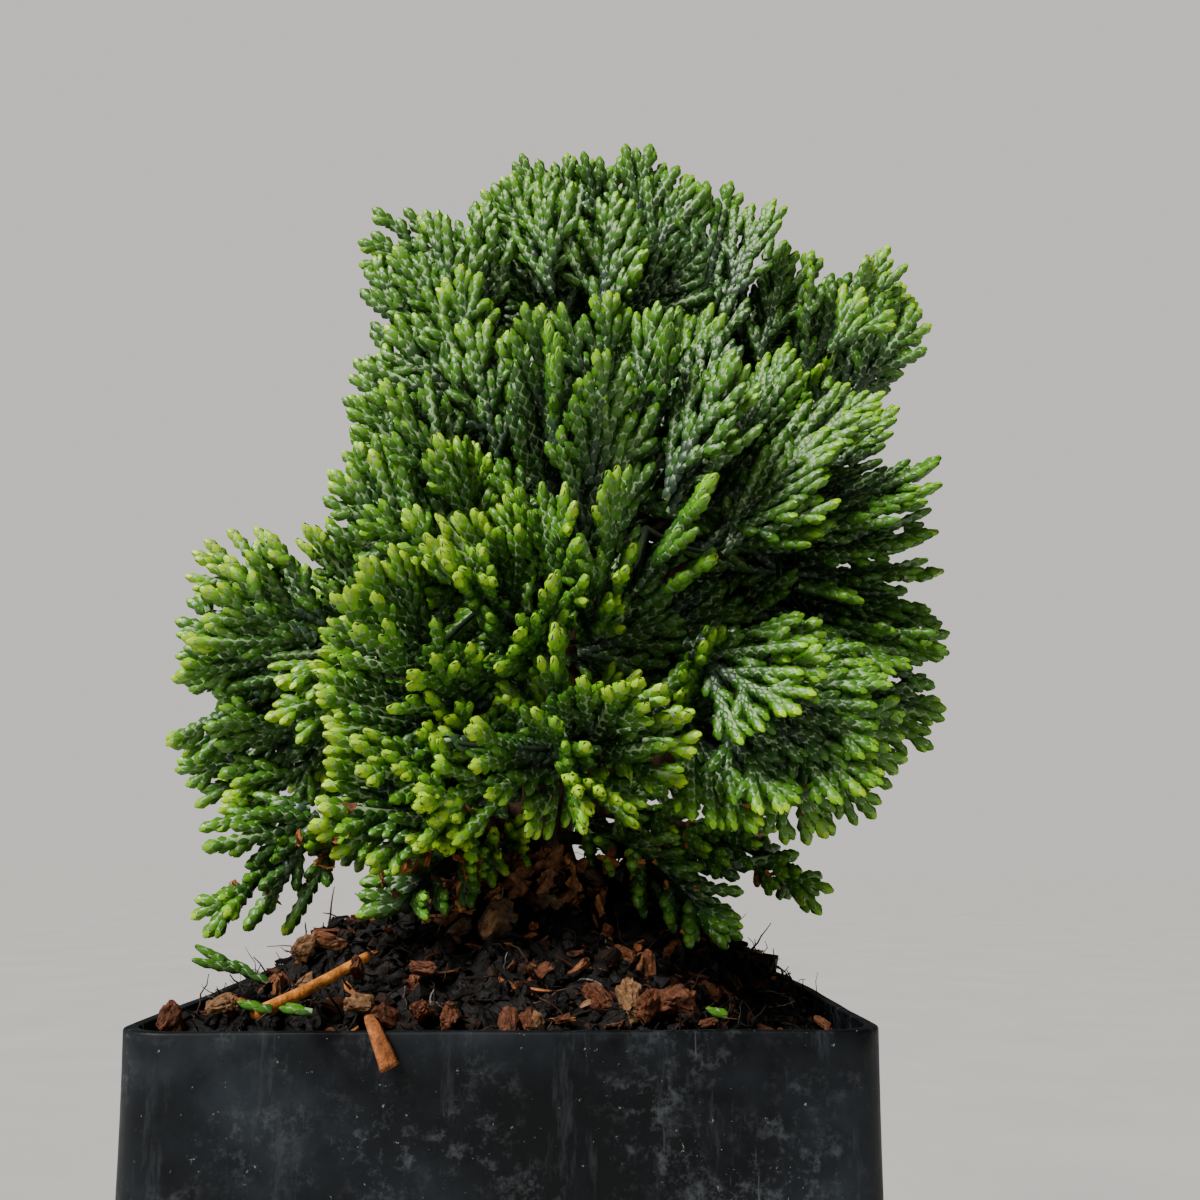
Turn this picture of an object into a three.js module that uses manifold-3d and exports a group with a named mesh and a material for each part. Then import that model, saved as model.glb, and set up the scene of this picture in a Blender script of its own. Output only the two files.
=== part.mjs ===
// A dwarf conifer with scale leaves, in a square nursery pot of bark compost.
// Millimetres, +Z up, the viewer's side is -Y. The origin is the centre of the pot's flat underside.
// The trunk stays whole, each bough leaves it at its own height, and each bough carries one mass
// of foliage: a core or a stem with sprays of shoots fused to it.

import * as THREE from "three";
import { mergeVertices } from "three/addons/utils/BufferGeometryUtils.js";
import Module from "manifold-3d";

const wasm = await Module();
wasm.setup();

// Clearance between solids that rest on, or lie beside, each other.
const GAP = 0.3;
// Corners closer than this are one.
const MERGE = 1e-4;
// Stands in for nought where something is divided by it.
const TINY = 1e-3;

// Pot: a straight collar under the rim, a small step, and walls that taper to the underside.
const RIM = 78;
const POT_WIDTH = 64;
const COLLAR_DEPTH = 18;
const COLLAR_TAPER = 0.01;
const COLLAR_STEP = 0.6;
const FOOT_WIDTH = 56;
const WALL = 1.1;
const FLOOR = 1.6;
const CORNER_SHARE = 0.14; // corner radius as a share of the half width
const DRAIN_HOLE = 3.2;
const DRAIN_AT = 15;
const DRAIN_SIDES = 10;
const POT_SEGMENTS = 24;
const SIDE_PART = 0.2; // share of the segments that the straight sides take

// Compost: a mound round the trunk, with a dip in one front corner.
const SOIL_EDGE = -3;
const MOUND_AT = [2.5, 2];
const MOUND_RISE = 14.3;
const MOUND_SPREAD = 15;
const MOUND_TOP_RADIUS = 7;
const DIP_AT = [26, -22];
const DIP_DEPTH = 3.5;
const DIP_SPREAD = 12;
const SOIL_RUMPLE = 0.5;
const SOIL_RINGS = [1, 0.9, 0.78, 0.66, 0.54, 0.42, 0.22]; // rings of its top, as shares of its half width
const SOIL_SEGMENTS = 32;
const SOIL_SEED = 7;
const SQUARENESS = 10; // the power of its outline, a squared-up circle that packs short of the corners

// Trunk: its line above the compost, from the flat cut at ground level to the tip in the crown.
const GROUND = RIM + SOIL_EDGE + MOUND_RISE + GAP;
const TRUNK_LINE = [
  [2.5, 2, 0],
  [2.6, 2, 6],
  [4.5, 3, 28],
  [5.5, 4, 48],
  [8, 3, 64],
];
const TRUNK_FOOT = 3.1;
const TRUNK_TIP = 1.1;
const FLARE = 1.5;
const FLARE_HEIGHT = 3;
const FLARE_ROOTS = 5; // ridges round the flare, each running into a root
const FLARE_RIDGE = 0.25; // how far the ridges stand out, as a share of the flare
const TRUNK_SIDES = 10;
const TRUNK_STEPS = 16;
const TRUNK_PLACES = 200; // places along it where a bough can leave

// Boughs and the stems inside the masses.
const BOUGH_FOOT = 1.25;
const BOUGH_TIP = 0.8;
const STEM_TIP = 0.55;
const BOUGH_ENTERS = 0.74; // share of a mass's reach, from its centre, where its bough ends
const OPEN_ENTERS = 0.45; // the same for the height at which a drooping mass's bough ends
const BOUGH_SAG = 0.08; // dip of a bough at mid length, as a share of its run; drooping ones arch
const STEM_ARCH = 0.25; // rise of a drooping stem at mid length, as a share of its length
const STEM_ENDS = 0.5; // share of a drooping mass's reach at which its stem ends
const LIMB_SIDES = 5;
const LIMB_STEP = 9;
const CLEARANCE_SIDES = 8;
const BEAD_STEP = 1.5; // spacing of the places along a limb that sprays are kept off
const LIFT = 0.35; // how far shoots turn up from the bough's own direction

// Sprays: flat toothed blades, each for a fan of the plant's own shoots, so larger than life.
const SPRAYS = 11; // tried over the whole of a mass; those without room are left out
const DENSE_TRIMS = [1, 0.88]; // shares of its length that a spray is tried at
const OPEN_TRIMS = [1, 0.85, 0.7, 0.55];
const SPRAY_THICKNESS = 1.3;
const SPRAY_EDGE = [ // places along and across a spray, as shares of its length
  [0, 0.05],
  [0.5, 0.08],
  [0.86, 0.34],
  [0.74, 0.12],
  [1, 0.04],
];
const SPRAY_SUNK = 0.4; // share of its length that lies in the core or on the stem
const SPRAY_SHORT = 0.07; // how far a spray's tip may fall short of the mass's reach
const NEAR_UPRIGHT = 0.3; // sine under which a spray counts as upright, so that its plane turns to X
const SPRAY_ROOT = 0.1; // how far behind the core's centre the sprays spring from
const SPRAY_ROLL = 0.7; // most turn of a spray's plane from the upright, either way
const OVERREACH = 1.12; // furthest that a spray's edge may pass its mass's reach
const OPEN_FORKS = [0.3, 0.62, 0.94]; // where an open mass's stem forks, as shares of its length
const OPEN_SPLAY = [0.9, 1.3]; // least and most turn of its sprays from the stem, as a tangent
const OPEN_LENGTH = [1.1, 1.5]; // and their least and most length, as shares of its smallest reach
const SWELL = 0.2; // how much a dense mass is filled out towards the trunk
const CORE_SHARE = 0.76;
const CORE_LEAST = 0.1; // share at which a core's corner starts, to grow by steps while it has room
const CORE_STEP = 0.03;
const CORE_SET_BACK = 0.18; // how far behind the mass's centre the core's centre lies
const CORE_UNEVEN = 0.1; // how much a corner of the core may fall short of that

// The masses: centre and reach from it along X, Y and Z, heights above the rim. fork is the height
// above the rim at which the mass's bough leaves the trunk, or its stem where it has no bough. A
// mass that droops is open: it has no core and hangs from its stem, more steeply the more it droops.
const MASSES = {
  top: { at: [8.5, 3, 90], reach: [12, 12, 12.5], fork: 70, onTrunk: true },
  top_left: { at: [-9.5, 3, 82], reach: [11.5, 11, 10], fork: 63 },
  top_right: { at: [24, 2, 83], reach: [12, 12, 11], fork: 66 },
  wing: { at: [40.5, 2, 77], reach: [8.7, 9, 9], fork: 54 },
  left_upper: { at: [-11.5, -4, 65], reach: [9.4, 10, 11], fork: 47 },
  left_shoulder: { at: [-15, -8, 50], reach: [8, 10, 8], fork: 36 },
  left: { at: [-30, -2, 38.5], reach: [10.3, 13, 11], fork: 29 },
  left_low: { at: [-30.7, 2, 26.5], reach: [10, 12, 7], fork: 22.5 },
  front_upper: { at: [5.5, -15, 62], reach: [10, 10, 11], fork: 52 },
  front_upper_right: { at: [20.5, -14, 62.5], reach: [10.5, 10, 10], fork: 48 },
  front_middle: { at: [14, -23, 47.5], reach: [14.5, 9, 7.3], fork: 36 },
  front_centre: { at: [-1, -24, 38], reach: [8.5, 8, 8], fork: 29 },
  front_left: { at: [-12, -22, 33], reach: [8.6, 9, 9], fork: 24.5 },
  front_low: { at: [5, -29, 24.5], reach: [10, 9, 7.3], fork: 20 },
  front_low_left: { at: [-12, -24, 20], reach: [7, 8, 7], fork: 17 },
  right_middle: { at: [36.5, -5, 54.5], reach: [10.8, 13, 11], fork: 42 },
  right_low: { at: [40, 0, 38.5], reach: [10.2, 13, 10], fork: 31 },
  right_front_low: { at: [26, -19, 26], reach: [10.7, 9, 9.6], fork: 23 },
  back_top: { at: [8, 19, 83], reach: [12, 10, 11], fork: 64 },
  back_left: { at: [-13, 17, 62], reach: [10, 12, 12], fork: 50 },
  back_right: { at: [28, 20, 62], reach: [13, 12, 13], fork: 48 },
  back_middle: { at: [6, 27, 56], reach: [13, 10, 13], fork: 43 },
  back_low_left: { at: [-22, 21, 34], reach: [12.5, 12, 12.5], fork: 27 },
  back_low: { at: [4, 30, 29], reach: [13, 11, 12.5], fork: 24 },
  back_low_right: { at: [30, 21, 31], reach: [13, 12.5, 12.5], fork: 25.5 },
  middle_left: { at: [-8, 5, 46], reach: [9, 9, 9], fork: 38, onTrunk: true },
  middle_right: { at: [18, 3, 40], reach: [10, 10, 8], fork: 34, onTrunk: true },
  low_left: { at: [-8, -17, 10], reach: [9, 7, 6.5], fork: 15.5, droop: 0.25, onTrunk: true },
  hang_left: { at: [-25, -6, 12.5], reach: [8, 6, 7.5], fork: 19, droop: 0.7 },
  hang_right: { at: [24.5, -4, 13.5], reach: [8, 6, 6], fork: 20.5, droop: 0.35 },
  low_right: { at: [15.5, -13, 10], reach: [8, 6, 6.5], fork: 15.5, droop: 0.5, onTrunk: true },
};

// Colours as seen, one material for each kind of piece.
const FINISHES = {
  pot: { color: 0x1b1e21, roughness: 0.55, metalness: 0 },
  soil: { color: 0x2a1c14, roughness: 0.95, metalness: 0 },
  bark: { color: 0x4a2f20, roughness: 0.9, metalness: 0 },
  foliage: { color: 0x3f6b22, roughness: 0.7, metalness: 0 },
};

const SEED = 100; // of the first mass; each has its own

// A repeatable random source, so that the plant grows the same way each time.
function randomFrom(seed) {
  let state = seed >>> 0;
  return () => {
    state = (state + 0x6d2b79f5) >>> 0;
    let t = Math.imul(state ^ (state >>> 15), state | 1);
    t ^= t + Math.imul(t ^ (t >>> 7), t | 61);
    return ((t ^ (t >>> 14)) >>> 0) / 4294967296;
  };
}

function between(random, least, most) {
  return THREE.MathUtils.lerp(least, most, random());
}

// A geometry with its places only, so that corners that coincide can be merged.
function bare(geometry) {
  geometry.deleteAttribute("normal");
  geometry.deleteAttribute("uv");
  return geometry;
}

// A closed geometry as a solid that can be joined and cut.
function solidOf(geometry) {
  const merged = mergeVertices(bare(geometry), MERGE);
  return new wasm.Manifold(
    new wasm.Mesh({
      numProp: 3,
      vertProperties: merged.attributes.position.array,
      triVerts: new Uint32Array(merged.index.array),
    }),
  );
}

// The largest body of a solid as a geometry. Cutting can leave loose scraps, which are dropped.
function geometryOf(solid) {
  const bodies = solid.decompose().sort((a, b) => b.volume() - a.volume());
  const mesh = bodies[0].getMesh();
  return new THREE.BufferGeometry()
    .setAttribute("position", new THREE.BufferAttribute(new Float32Array(mesh.vertProperties), 3))
    .setIndex(new THREE.BufferAttribute(new Uint32Array(mesh.triVerts), 1));
}

function meshOf(name, geometry, finish) {
  const mesh = new THREE.Mesh(geometry, new THREE.MeshStandardMaterial(FINISHES[finish]));
  mesh.name = name;
  return mesh;
}

// Moves each vertex of a geometry by a function that changes the point it is given.
function reshape(geometry, place) {
  const position = geometry.attributes.position;
  const point = new THREE.Vector3();
  for (let i = 0; i < position.count; i++) {
    point.fromBufferAttribute(position, i);
    place(point);
    position.setXYZ(i, point.x, point.y, point.z);
  }
  return geometry;
}

// Where a share of the way round a square with round corners lies, from the middle of the +X side.
// Half a side's turn is flat for SIDE_PART of it, and then follows the corner's arc.
function squarePoint(turn, half) {
  const quarter = Math.floor(turn * 4 + 0.5);
  const offset = (turn * 4 - quarter) * 2;
  const corner = half * CORNER_SHARE;
  const share = THREE.MathUtils.clamp((Math.abs(offset) - SIDE_PART) / (1 - SIDE_PART), 0, 1);
  const arc = (share * Math.PI) / 4;
  const x = half - corner + corner * Math.cos(arc);
  const side = half - corner + corner * Math.sin(arc);
  const y = Math.abs(offset) < SIDE_PART / 2 ? 0 : Math.sign(offset) * side;
  return new THREE.Vector2(x, y).rotateAround(new THREE.Vector2(), (quarter * Math.PI) / 2);
}

function turnOf(point) {
  return (Math.atan2(point.z, point.x) / (2 * Math.PI) + 1) % 1;
}

// A lathed form from radii and heights, listed up the outside and back to the axis.
function lathed(profile, segments) {
  const points = profile.map(([radius, height]) => new THREE.Vector2(radius, height));
  return new THREE.LatheGeometry(points, segments);
}

// A closed square form: the radii of the profile become half widths.
function squareForm(profile) {
  return reshape(lathed(profile, POT_SEGMENTS), (point) => {
    const outline = squarePoint(turnOf(point), Math.hypot(point.x, point.z));
    point.set(outline.x, -outline.y, point.y);
  });
}

const collarHalf = POT_WIDTH / 2;
const collarFootHalf = collarHalf - COLLAR_TAPER * COLLAR_DEPTH;
const footHalf = FOOT_WIDTH / 2;

// The wall's outer half width at a height.
function wallHalf(height) {
  const collarFoot = RIM - COLLAR_DEPTH;
  if (height >= collarFoot) return collarHalf - COLLAR_TAPER * (RIM - height);
  return THREE.MathUtils.lerp(footHalf, collarFootHalf - COLLAR_STEP, height / collarFoot);
}

function pot() {
  const collarFoot = RIM - COLLAR_DEPTH;
  const shell = solidOf(
    squareForm([
      [0, 0],
      [footHalf, 0],
      [wallHalf(collarFoot - TINY), collarFoot],
      [collarFootHalf, collarFoot + COLLAR_STEP],
      [collarHalf, RIM],
      [collarHalf - WALL, RIM],
      [collarFootHalf - WALL, collarFoot],
      [footHalf - WALL, FLOOR],
      [0, FLOOR],
    ]),
  );
  let holed = shell;
  for (const x of [-DRAIN_AT, DRAIN_AT]) {
    for (const y of [-DRAIN_AT, DRAIN_AT]) {
      const hole = new THREE.CylinderGeometry(DRAIN_HOLE, DRAIN_HOLE, FLOOR * 4, DRAIN_SIDES);
      hole.rotateX(Math.PI / 2).translate(x, y, 0);
      holed = holed.subtract(solidOf(hole));
    }
  }
  return meshOf("pot", geometryOf(holed), "pot");
}

// Height of the compost at a place.
function soilHeight(x, y) {
  const fromMound = Math.hypot(x - MOUND_AT[0], y - MOUND_AT[1]);
  const slope = Math.max(fromMound - MOUND_TOP_RADIUS, 0) / MOUND_SPREAD;
  const mound = MOUND_RISE * Math.exp(-slope * slope);
  const fromDip = Math.hypot(x - DIP_AT[0], y - DIP_AT[1]);
  return RIM + SOIL_EDGE + mound - DIP_DEPTH * Math.exp(-((fromDip / DIP_SPREAD) ** 2));
}

// The compost fills the pot to 0.3 mm from its walls. Its rings are spread evenly round the mound.
function soil() {
  const random = randomFrom(SOIL_SEED);
  const inside = (height) => wallHalf(height) - WALL - GAP;
  const shelf = RIM - COLLAR_DEPTH - 1;
  const edge = RIM + SOIL_EDGE - DIP_DEPTH - 2;
  const profile = [
    [0, FLOOR + GAP],
    [inside(FLOOR + GAP), FLOOR + GAP],
    [inside(shelf), shelf],
    [inside(edge), edge],
  ];
  for (const share of SOIL_RINGS) profile.push([inside(RIM) * share, RIM]);
  profile.push([0, RIM]);
  const geometry = mergeVertices(bare(lathed(profile, SOIL_SEGMENTS)), MERGE);
  reshape(geometry, (point) => {
    const { x, y, z } = point;
    const angle = Math.atan2(z, x);
    const powers = Math.abs(Math.cos(angle)) ** SQUARENESS + Math.abs(Math.sin(angle)) ** SQUARENESS;
    const outer = THREE.MathUtils.clamp(Math.hypot(x, z) / inside(RIM), 0, 1);
    const square = powers ** (-1 / SQUARENESS);
    const share = y < RIM ? square : THREE.MathUtils.lerp(1, square, outer);
    point.set(x * share, -z * share, y);
    if (y < RIM) return;
    point.x += MOUND_AT[0] * (1 - outer);
    point.y += MOUND_AT[1] * (1 - outer);
    const onPad = Math.hypot(point.x - MOUND_AT[0], point.y - MOUND_AT[1]) < MOUND_TOP_RADIUS;
    point.z = soilHeight(point.x, point.y) + (onPad ? 0 : between(random, -SOIL_RUMPLE, SOIL_RUMPLE));
  });
  return meshOf("compost", geometryOf(solidOf(geometry)), "soil");
}

// A limb along a curve: a closed cylinder bent onto it. radiusAt takes the share of the length and
// the angle round the limb.
function limb(curve, radiusAt, sides, steps) {
  const frames = curve.computeFrenetFrames(steps, false);
  const geometry = new THREE.CylinderGeometry(1, 1, 1, sides, steps);
  return reshape(geometry, (point) => {
    const along = THREE.MathUtils.clamp(point.y + 0.5, 0, 1);
    const step = Math.round(along * steps);
    const radius = radiusAt(along, Math.atan2(point.z, point.x));
    const { x, z } = point;
    point.copy(curve.getPointAt(along));
    point.addScaledVector(frames.binormals[step], x * radius);
    point.addScaledVector(frames.normals[step], z * radius);
  });
}

const trunkCurve = new THREE.CatmullRomCurve3(
  TRUNK_LINE.map(([x, y, z]) => new THREE.Vector3(x, y, GROUND + z)),
);
const trunkLength = trunkCurve.getLength();

function trunkRadius(along, angle) {
  const plain = THREE.MathUtils.lerp(TRUNK_FOOT, TRUNK_TIP, along);
  const ridges = 1 - FLARE_RIDGE * (1 - Math.cos(FLARE_ROOTS * angle));
  return plain + FLARE * ridges * Math.exp((-along * trunkLength) / FLARE_HEIGHT);
}

// The trunk, or a fatter one that cuts others clear of it. Its foot is a level cut.
function trunkSolid(extra) {
  const radiusAt = (along, angle) => trunkRadius(along, angle) + extra;
  const geometry = limb(trunkCurve, radiusAt, TRUNK_SIDES, TRUNK_STEPS);
  const level = GROUND + trunkLength / TRUNK_STEPS / 2;
  return solidOf(
    reshape(geometry, (point) => {
      if (point.z < level) point.z = GROUND - extra;
    }),
  );
}

// The trunk's axis at a height above the rim, which the line's last point below it gives.
function trunkAt(height) {
  const places = trunkCurve.getSpacedPoints(TRUNK_PLACES);
  return places.findLast((place) => place.z <= RIM + height);
}

// Works out where a mass's limb runs and which way its shoots point.
function settle(name, mass, index) {
  const centre = new THREE.Vector3(mass.at[0], mass.at[1], RIM + mass.at[2]);
  const reach = new THREE.Vector3(...mass.reach);
  const root = trunkAt(mass.fork);
  const open = mass.droop !== undefined;
  if (!open) {
    const inward = root.clone().sub(centre).normalize();
    centre.add(inward.multiply(reach).multiplyScalar(SWELL));
    reach.multiplyScalar(1 + SWELL);
  }
  const outward = centre.clone().sub(root).normalize();
  const axis = outward.clone();
  if (open) axis.setZ(-mass.droop).normalize();
  else axis.add(new THREE.Vector3(0, 0, LIFT)).normalize();
  // Where the bough meets the mass: on the side of the mass that faces the trunk.
  const scaled = outward.clone().divide(reach);
  const entry = centre.clone().addScaledVector(outward, -BOUGH_ENTERS / scaled.length());
  if (open) entry.z = centre.z + reach.z * OPEN_ENTERS;
  const onTrunk = Boolean(mass.onTrunk);
  return { name, centre, reach, root, entry, axis, open, onTrunk, seed: SEED + index };
}

const masses = Object.entries(MASSES).map(([name, mass], index) => settle(name, mass, index));
const smallest = (reach) => Math.min(reach.x, reach.y, reach.z);

// A bough leaves the trunk low, sweeps outwards and rises to its mass.
function boughCurve(mass) {
  const run = mass.entry.clone().sub(mass.root);
  const bend = mass.root.clone().addScaledVector(run, 0.5);
  bend.z -= BOUGH_SAG * Math.hypot(run.x, run.y) * (mass.open ? -1 : 1);
  return new THREE.QuadraticBezierCurve3(mass.root, bend, mass.entry);
}

// A stem runs on from the bough's tip, or from the trunk's, into the mass.
function stemCurve(mass) {
  const start = mass.onTrunk ? mass.root : mass.entry;
  if (!mass.open) return new THREE.LineCurve3(start, coreCentre(mass));
  const tip = mass.centre.clone().add(mass.axis.clone().multiply(mass.reach).multiplyScalar(STEM_ENDS));
  const bend = start.clone().lerp(tip, 0.5);
  bend.z += STEM_ARCH * start.distanceTo(tip);
  return new THREE.QuadraticBezierCurve3(start, bend, tip);
}

function coreCentre(mass) {
  return mass.centre.clone().addScaledVector(mass.axis, -CORE_SET_BACK * smallest(mass.reach));
}

function limbSolid(curve, rootRadius, tipRadius, extra) {
  const steps = Math.max(2, Math.round(curve.getLength() / LIMB_STEP));
  const radiusAt = (along) => THREE.MathUtils.lerp(rootRadius, tipRadius, along) + extra;
  if (extra === 0) return solidOf(limb(curve, radiusAt, LIMB_SIDES, steps));
  // A clearance also runs past both ends.
  const ends = [curve.getPointAt(0), curve.getPointAt(1)];
  ends[0].addScaledVector(curve.getTangentAt(0), -extra);
  ends[1].addScaledVector(curve.getTangentAt(1), extra);
  const middle = [];
  for (let i = 1; i < steps; i++) middle.push(curve.getPointAt(i / steps));
  const longer = new THREE.CatmullRomCurve3([ends[0], ...middle, ends[1]]);
  return solidOf(limb(longer, radiusAt, CLEARANCE_SIDES, steps));
}

// Points along a limb with the radius there, for keeping sprays off it.
function beads(curve, rootRadius, tipRadius) {
  const count = Math.ceil(curve.getLength() / BEAD_STEP);
  return curve.getSpacedPoints(count).map((point, i) => {
    const radius = THREE.MathUtils.lerp(rootRadius, tipRadius, i / count);
    return { point, radius };
  });
}

for (const mass of masses) {
  mass.bough = mass.onTrunk ? null : boughCurve(mass);
  mass.stem = stemCurve(mass);
  mass.stemBeads = beads(mass.stem, BOUGH_TIP, STEM_TIP);
}
const limbBeads = [
  ...beads(trunkCurve, TRUNK_FOOT, TRUNK_TIP),
  ...masses.flatMap((mass) => (mass.bough ? beads(mass.bough, BOUGH_FOOT, BOUGH_TIP) : [])),
];

// How deep a point lies in a mass, 0 at its centre and 1 at its reach, and how fast that grows.
function depthIn(mass, point) {
  const offset = point.clone().sub(mass.centre).divide(mass.reach);
  const depth = Math.max(offset.length(), TINY);
  return { depth, slope: offset.divide(mass.reach).divideScalar(depth) };
}

function roomFrom(limbs, point) {
  return Math.min(...limbs.map((bead) => point.distanceTo(bead.point) - bead.radius - GAP));
}

// Room at a point before it leaves the mass's own space: the nearest of its neighbours' spaces,
// the limbs and the compost. Two spaces meet where a point lies as deep in one as in the other.
function roomAt(point, mass) {
  const own = depthIn(mass, point);
  const room = [point.z - soilHeight(point.x, point.y) - GAP, roomFrom(limbBeads, point)];
  for (const other of masses) {
    if (other === mass) continue;
    const theirs = depthIn(other, point);
    const slope = Math.max(theirs.slope.distanceTo(own.slope), TINY);
    room.push((theirs.depth - own.depth) / slope - GAP / 2, roomFrom(other.stemBeads, point));
  }
  return Math.min(...room);
}

// The core: a rounded lump that fills the inner part of the mass as far as it has room.
function core(mass, random) {
  const middle = coreCentre(mass);
  const geometry = mergeVertices(bare(new THREE.IcosahedronGeometry(1, 0)), MERGE);
  reshape(geometry, (point) => {
    const way = point.clone().multiply(mass.reach);
    const most = CORE_SHARE - CORE_UNEVEN * random();
    const at = (share) => middle.clone().addScaledVector(way, share);
    let share = CORE_LEAST;
    while (share < most && roomAt(at(share + CORE_STEP), mass) > GAP) share += CORE_STEP;
    point.copy(at(share));
  });
  return solidOf(geometry);
}

// Directions spread evenly over a sphere, turned by the mass's own random start.
function spread(count, random) {
  const start = random() * 2 * Math.PI;
  const golden = Math.PI * (3 - Math.sqrt(5));
  return Array.from({ length: count }, (_, i) => {
    const z = 1 - (2 * (i + 0.5)) / count;
    const ring = Math.sqrt(1 - z * z);
    const turn = start + golden * i;
    return new THREE.Vector3(ring * Math.cos(turn), ring * Math.sin(turn), z);
  });
}

// A spray's own frame: its length runs along X and its flat plane, near upright, is X and Y.
function sprayFrame(root, tip, roll) {
  const ahead = tip.clone().sub(root);
  const length = ahead.length();
  ahead.divideScalar(length);
  const across = new THREE.Vector3(0, 0, 1).addScaledVector(ahead, -ahead.z);
  if (across.length() < NEAR_UPRIGHT) across.set(1, 0, 0).addScaledVector(ahead, -ahead.x);
  across.normalize().applyAxisAngle(ahead, roll);
  const normal = ahead.clone().cross(across);
  return { length, matrix: new THREE.Matrix4().makeBasis(ahead, across, normal).setPosition(root) };
}

function sprayOutline(length) {
  const upper = SPRAY_EDGE.map(([along, across]) => new THREE.Vector2(along * length, -across * length));
  const lower = SPRAY_EDGE.map(([along, across]) => new THREE.Vector2(along * length, across * length));
  return [...upper, ...lower.reverse()];
}

function spraySolid(length, matrix) {
  const shape = new THREE.Shape(sprayOutline(length));
  const geometry = new THREE.ExtrudeGeometry(shape, { depth: SPRAY_THICKNESS, bevelEnabled: false });
  return solidOf(geometry.translate(0, 0, -SPRAY_THICKNESS / 2).applyMatrix4(matrix));
}

// A spray has room where all of its outline past its stalk does, and points between.
function hasRoom(length, matrix, mass) {
  const outline = sprayOutline(length).map((point) => new THREE.Vector3(point.x, point.y, 0));
  for (let i = 1; i < outline.length; i++) {
    for (const share of [0, 0.5]) {
      const point = outline[i].clone().lerp(outline[i - 1], share);
      if (point.x < length * SPRAY_SUNK) continue;
      point.applyMatrix4(matrix);
      if (depthIn(mass, point).depth > OVERREACH || roomAt(point, mass) < SPRAY_THICKNESS / 2) return false;
    }
  }
  return true;
}

// The sprays of a dense mass: they spring from low in its core, so that they fan out and turn up,
// and their tips lie on its reach.
function denseSprays(mass, random) {
  const root = coreCentre(mass).addScaledVector(mass.axis, -SPRAY_ROOT * smallest(mass.reach));
  return spread(SPRAYS, random).map((way) => {
    const share = between(random, 1 - SPRAY_SHORT, 1);
    const tip = mass.centre.clone().add(way.multiply(mass.reach).multiplyScalar(share));
    return sprayFrame(root, tip, between(random, -SPRAY_ROLL, SPRAY_ROLL));
  });
}

// The sprays of an open mass: pairs along its stem.
function openSprays(mass, random) {
  const list = [];
  const across = new THREE.Vector3(-mass.axis.y, mass.axis.x, 0).normalize();
  const size = smallest(mass.reach);
  for (const along of OPEN_FORKS) {
    const root = mass.stem.getPointAt(along);
    const ahead = mass.stem.getTangentAt(along);
    for (const hand of [-1, 1]) {
      const way = ahead.clone().addScaledVector(across, hand * between(random, ...OPEN_SPLAY)).normalize();
      const tip = root.clone().addScaledVector(way, size * between(random, ...OPEN_LENGTH));
      list.push(sprayFrame(root, tip, between(random, -SPRAY_ROLL, SPRAY_ROLL)));
    }
  }
  return list;
}

function growMass(mass, clearance) {
  const random = randomFrom(mass.seed);
  let solid = limbSolid(mass.stem, BOUGH_TIP, STEM_TIP, 0);
  if (!mass.open) solid = solid.add(core(mass, random));
  const sprays = mass.open ? openSprays(mass, random) : denseSprays(mass, random);
  const trims = mass.open ? OPEN_TRIMS : DENSE_TRIMS;
  for (const { length, matrix } of sprays) {
    const trim = trims.find((share) => hasRoom(length * share, matrix, mass));
    if (trim) solid = solid.add(spraySolid(length * trim, matrix));
  }
  return solid.subtract(clearance);
}

function plant() {
  const group = new THREE.Group();
  const trunkClearance = trunkSolid(GAP);
  group.add(meshOf("trunk", geometryOf(trunkSolid(0)), "bark"));
  let limbClearance = trunkClearance;
  for (const mass of masses) {
    if (!mass.bough) continue;
    const bough = limbSolid(mass.bough, BOUGH_FOOT, BOUGH_TIP, 0).subtract(trunkClearance);
    group.add(meshOf("bough_" + mass.name, geometryOf(bough), "bark"));
    limbClearance = limbClearance.add(limbSolid(mass.bough, BOUGH_FOOT, BOUGH_TIP, GAP));
  }
  for (const mass of masses) {
    group.add(meshOf("foliage_" + mass.name, geometryOf(growMass(mass, limbClearance)), "foliage"));
  }
  return group;
}

const conifer = new THREE.Group();
conifer.add(pot(), soil(), plant());

export default conifer;
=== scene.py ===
# A dwarf conifer with scale leaves, in a square nursery pot of bark compost, as it looks.
# The limbs and the spaces of the foliage are worked out again here from the same named sizes as
# the solids, in millimetres. Fans of shoots grow on from them and are clad in scales.
# The pot's underside is at z 0, the viewer's side is -Y.

import math
from types import SimpleNamespace

import bmesh
import bpy
import numpy as np
from mathutils import Matrix, Vector, geometry, noise


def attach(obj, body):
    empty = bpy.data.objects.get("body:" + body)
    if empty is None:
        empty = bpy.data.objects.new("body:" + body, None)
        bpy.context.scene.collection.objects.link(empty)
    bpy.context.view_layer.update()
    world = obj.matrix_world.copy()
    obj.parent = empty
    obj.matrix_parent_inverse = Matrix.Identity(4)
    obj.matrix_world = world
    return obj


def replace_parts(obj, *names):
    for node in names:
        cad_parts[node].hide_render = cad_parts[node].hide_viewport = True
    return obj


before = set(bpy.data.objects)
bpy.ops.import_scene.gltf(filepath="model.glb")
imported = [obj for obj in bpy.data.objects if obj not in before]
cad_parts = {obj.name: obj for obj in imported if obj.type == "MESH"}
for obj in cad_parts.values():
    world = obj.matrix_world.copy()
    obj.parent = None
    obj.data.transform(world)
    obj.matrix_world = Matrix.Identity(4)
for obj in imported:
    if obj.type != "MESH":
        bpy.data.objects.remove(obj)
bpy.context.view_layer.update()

MM = 0.001
BODY = "root"
MOST_TRIANGLES = 190_000  # in one joined piece
UP = np.array([0.0, 0.0, 1.0])
WORD = 0xFFFFFFFF  # the largest whole number of the solids' random source
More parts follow.
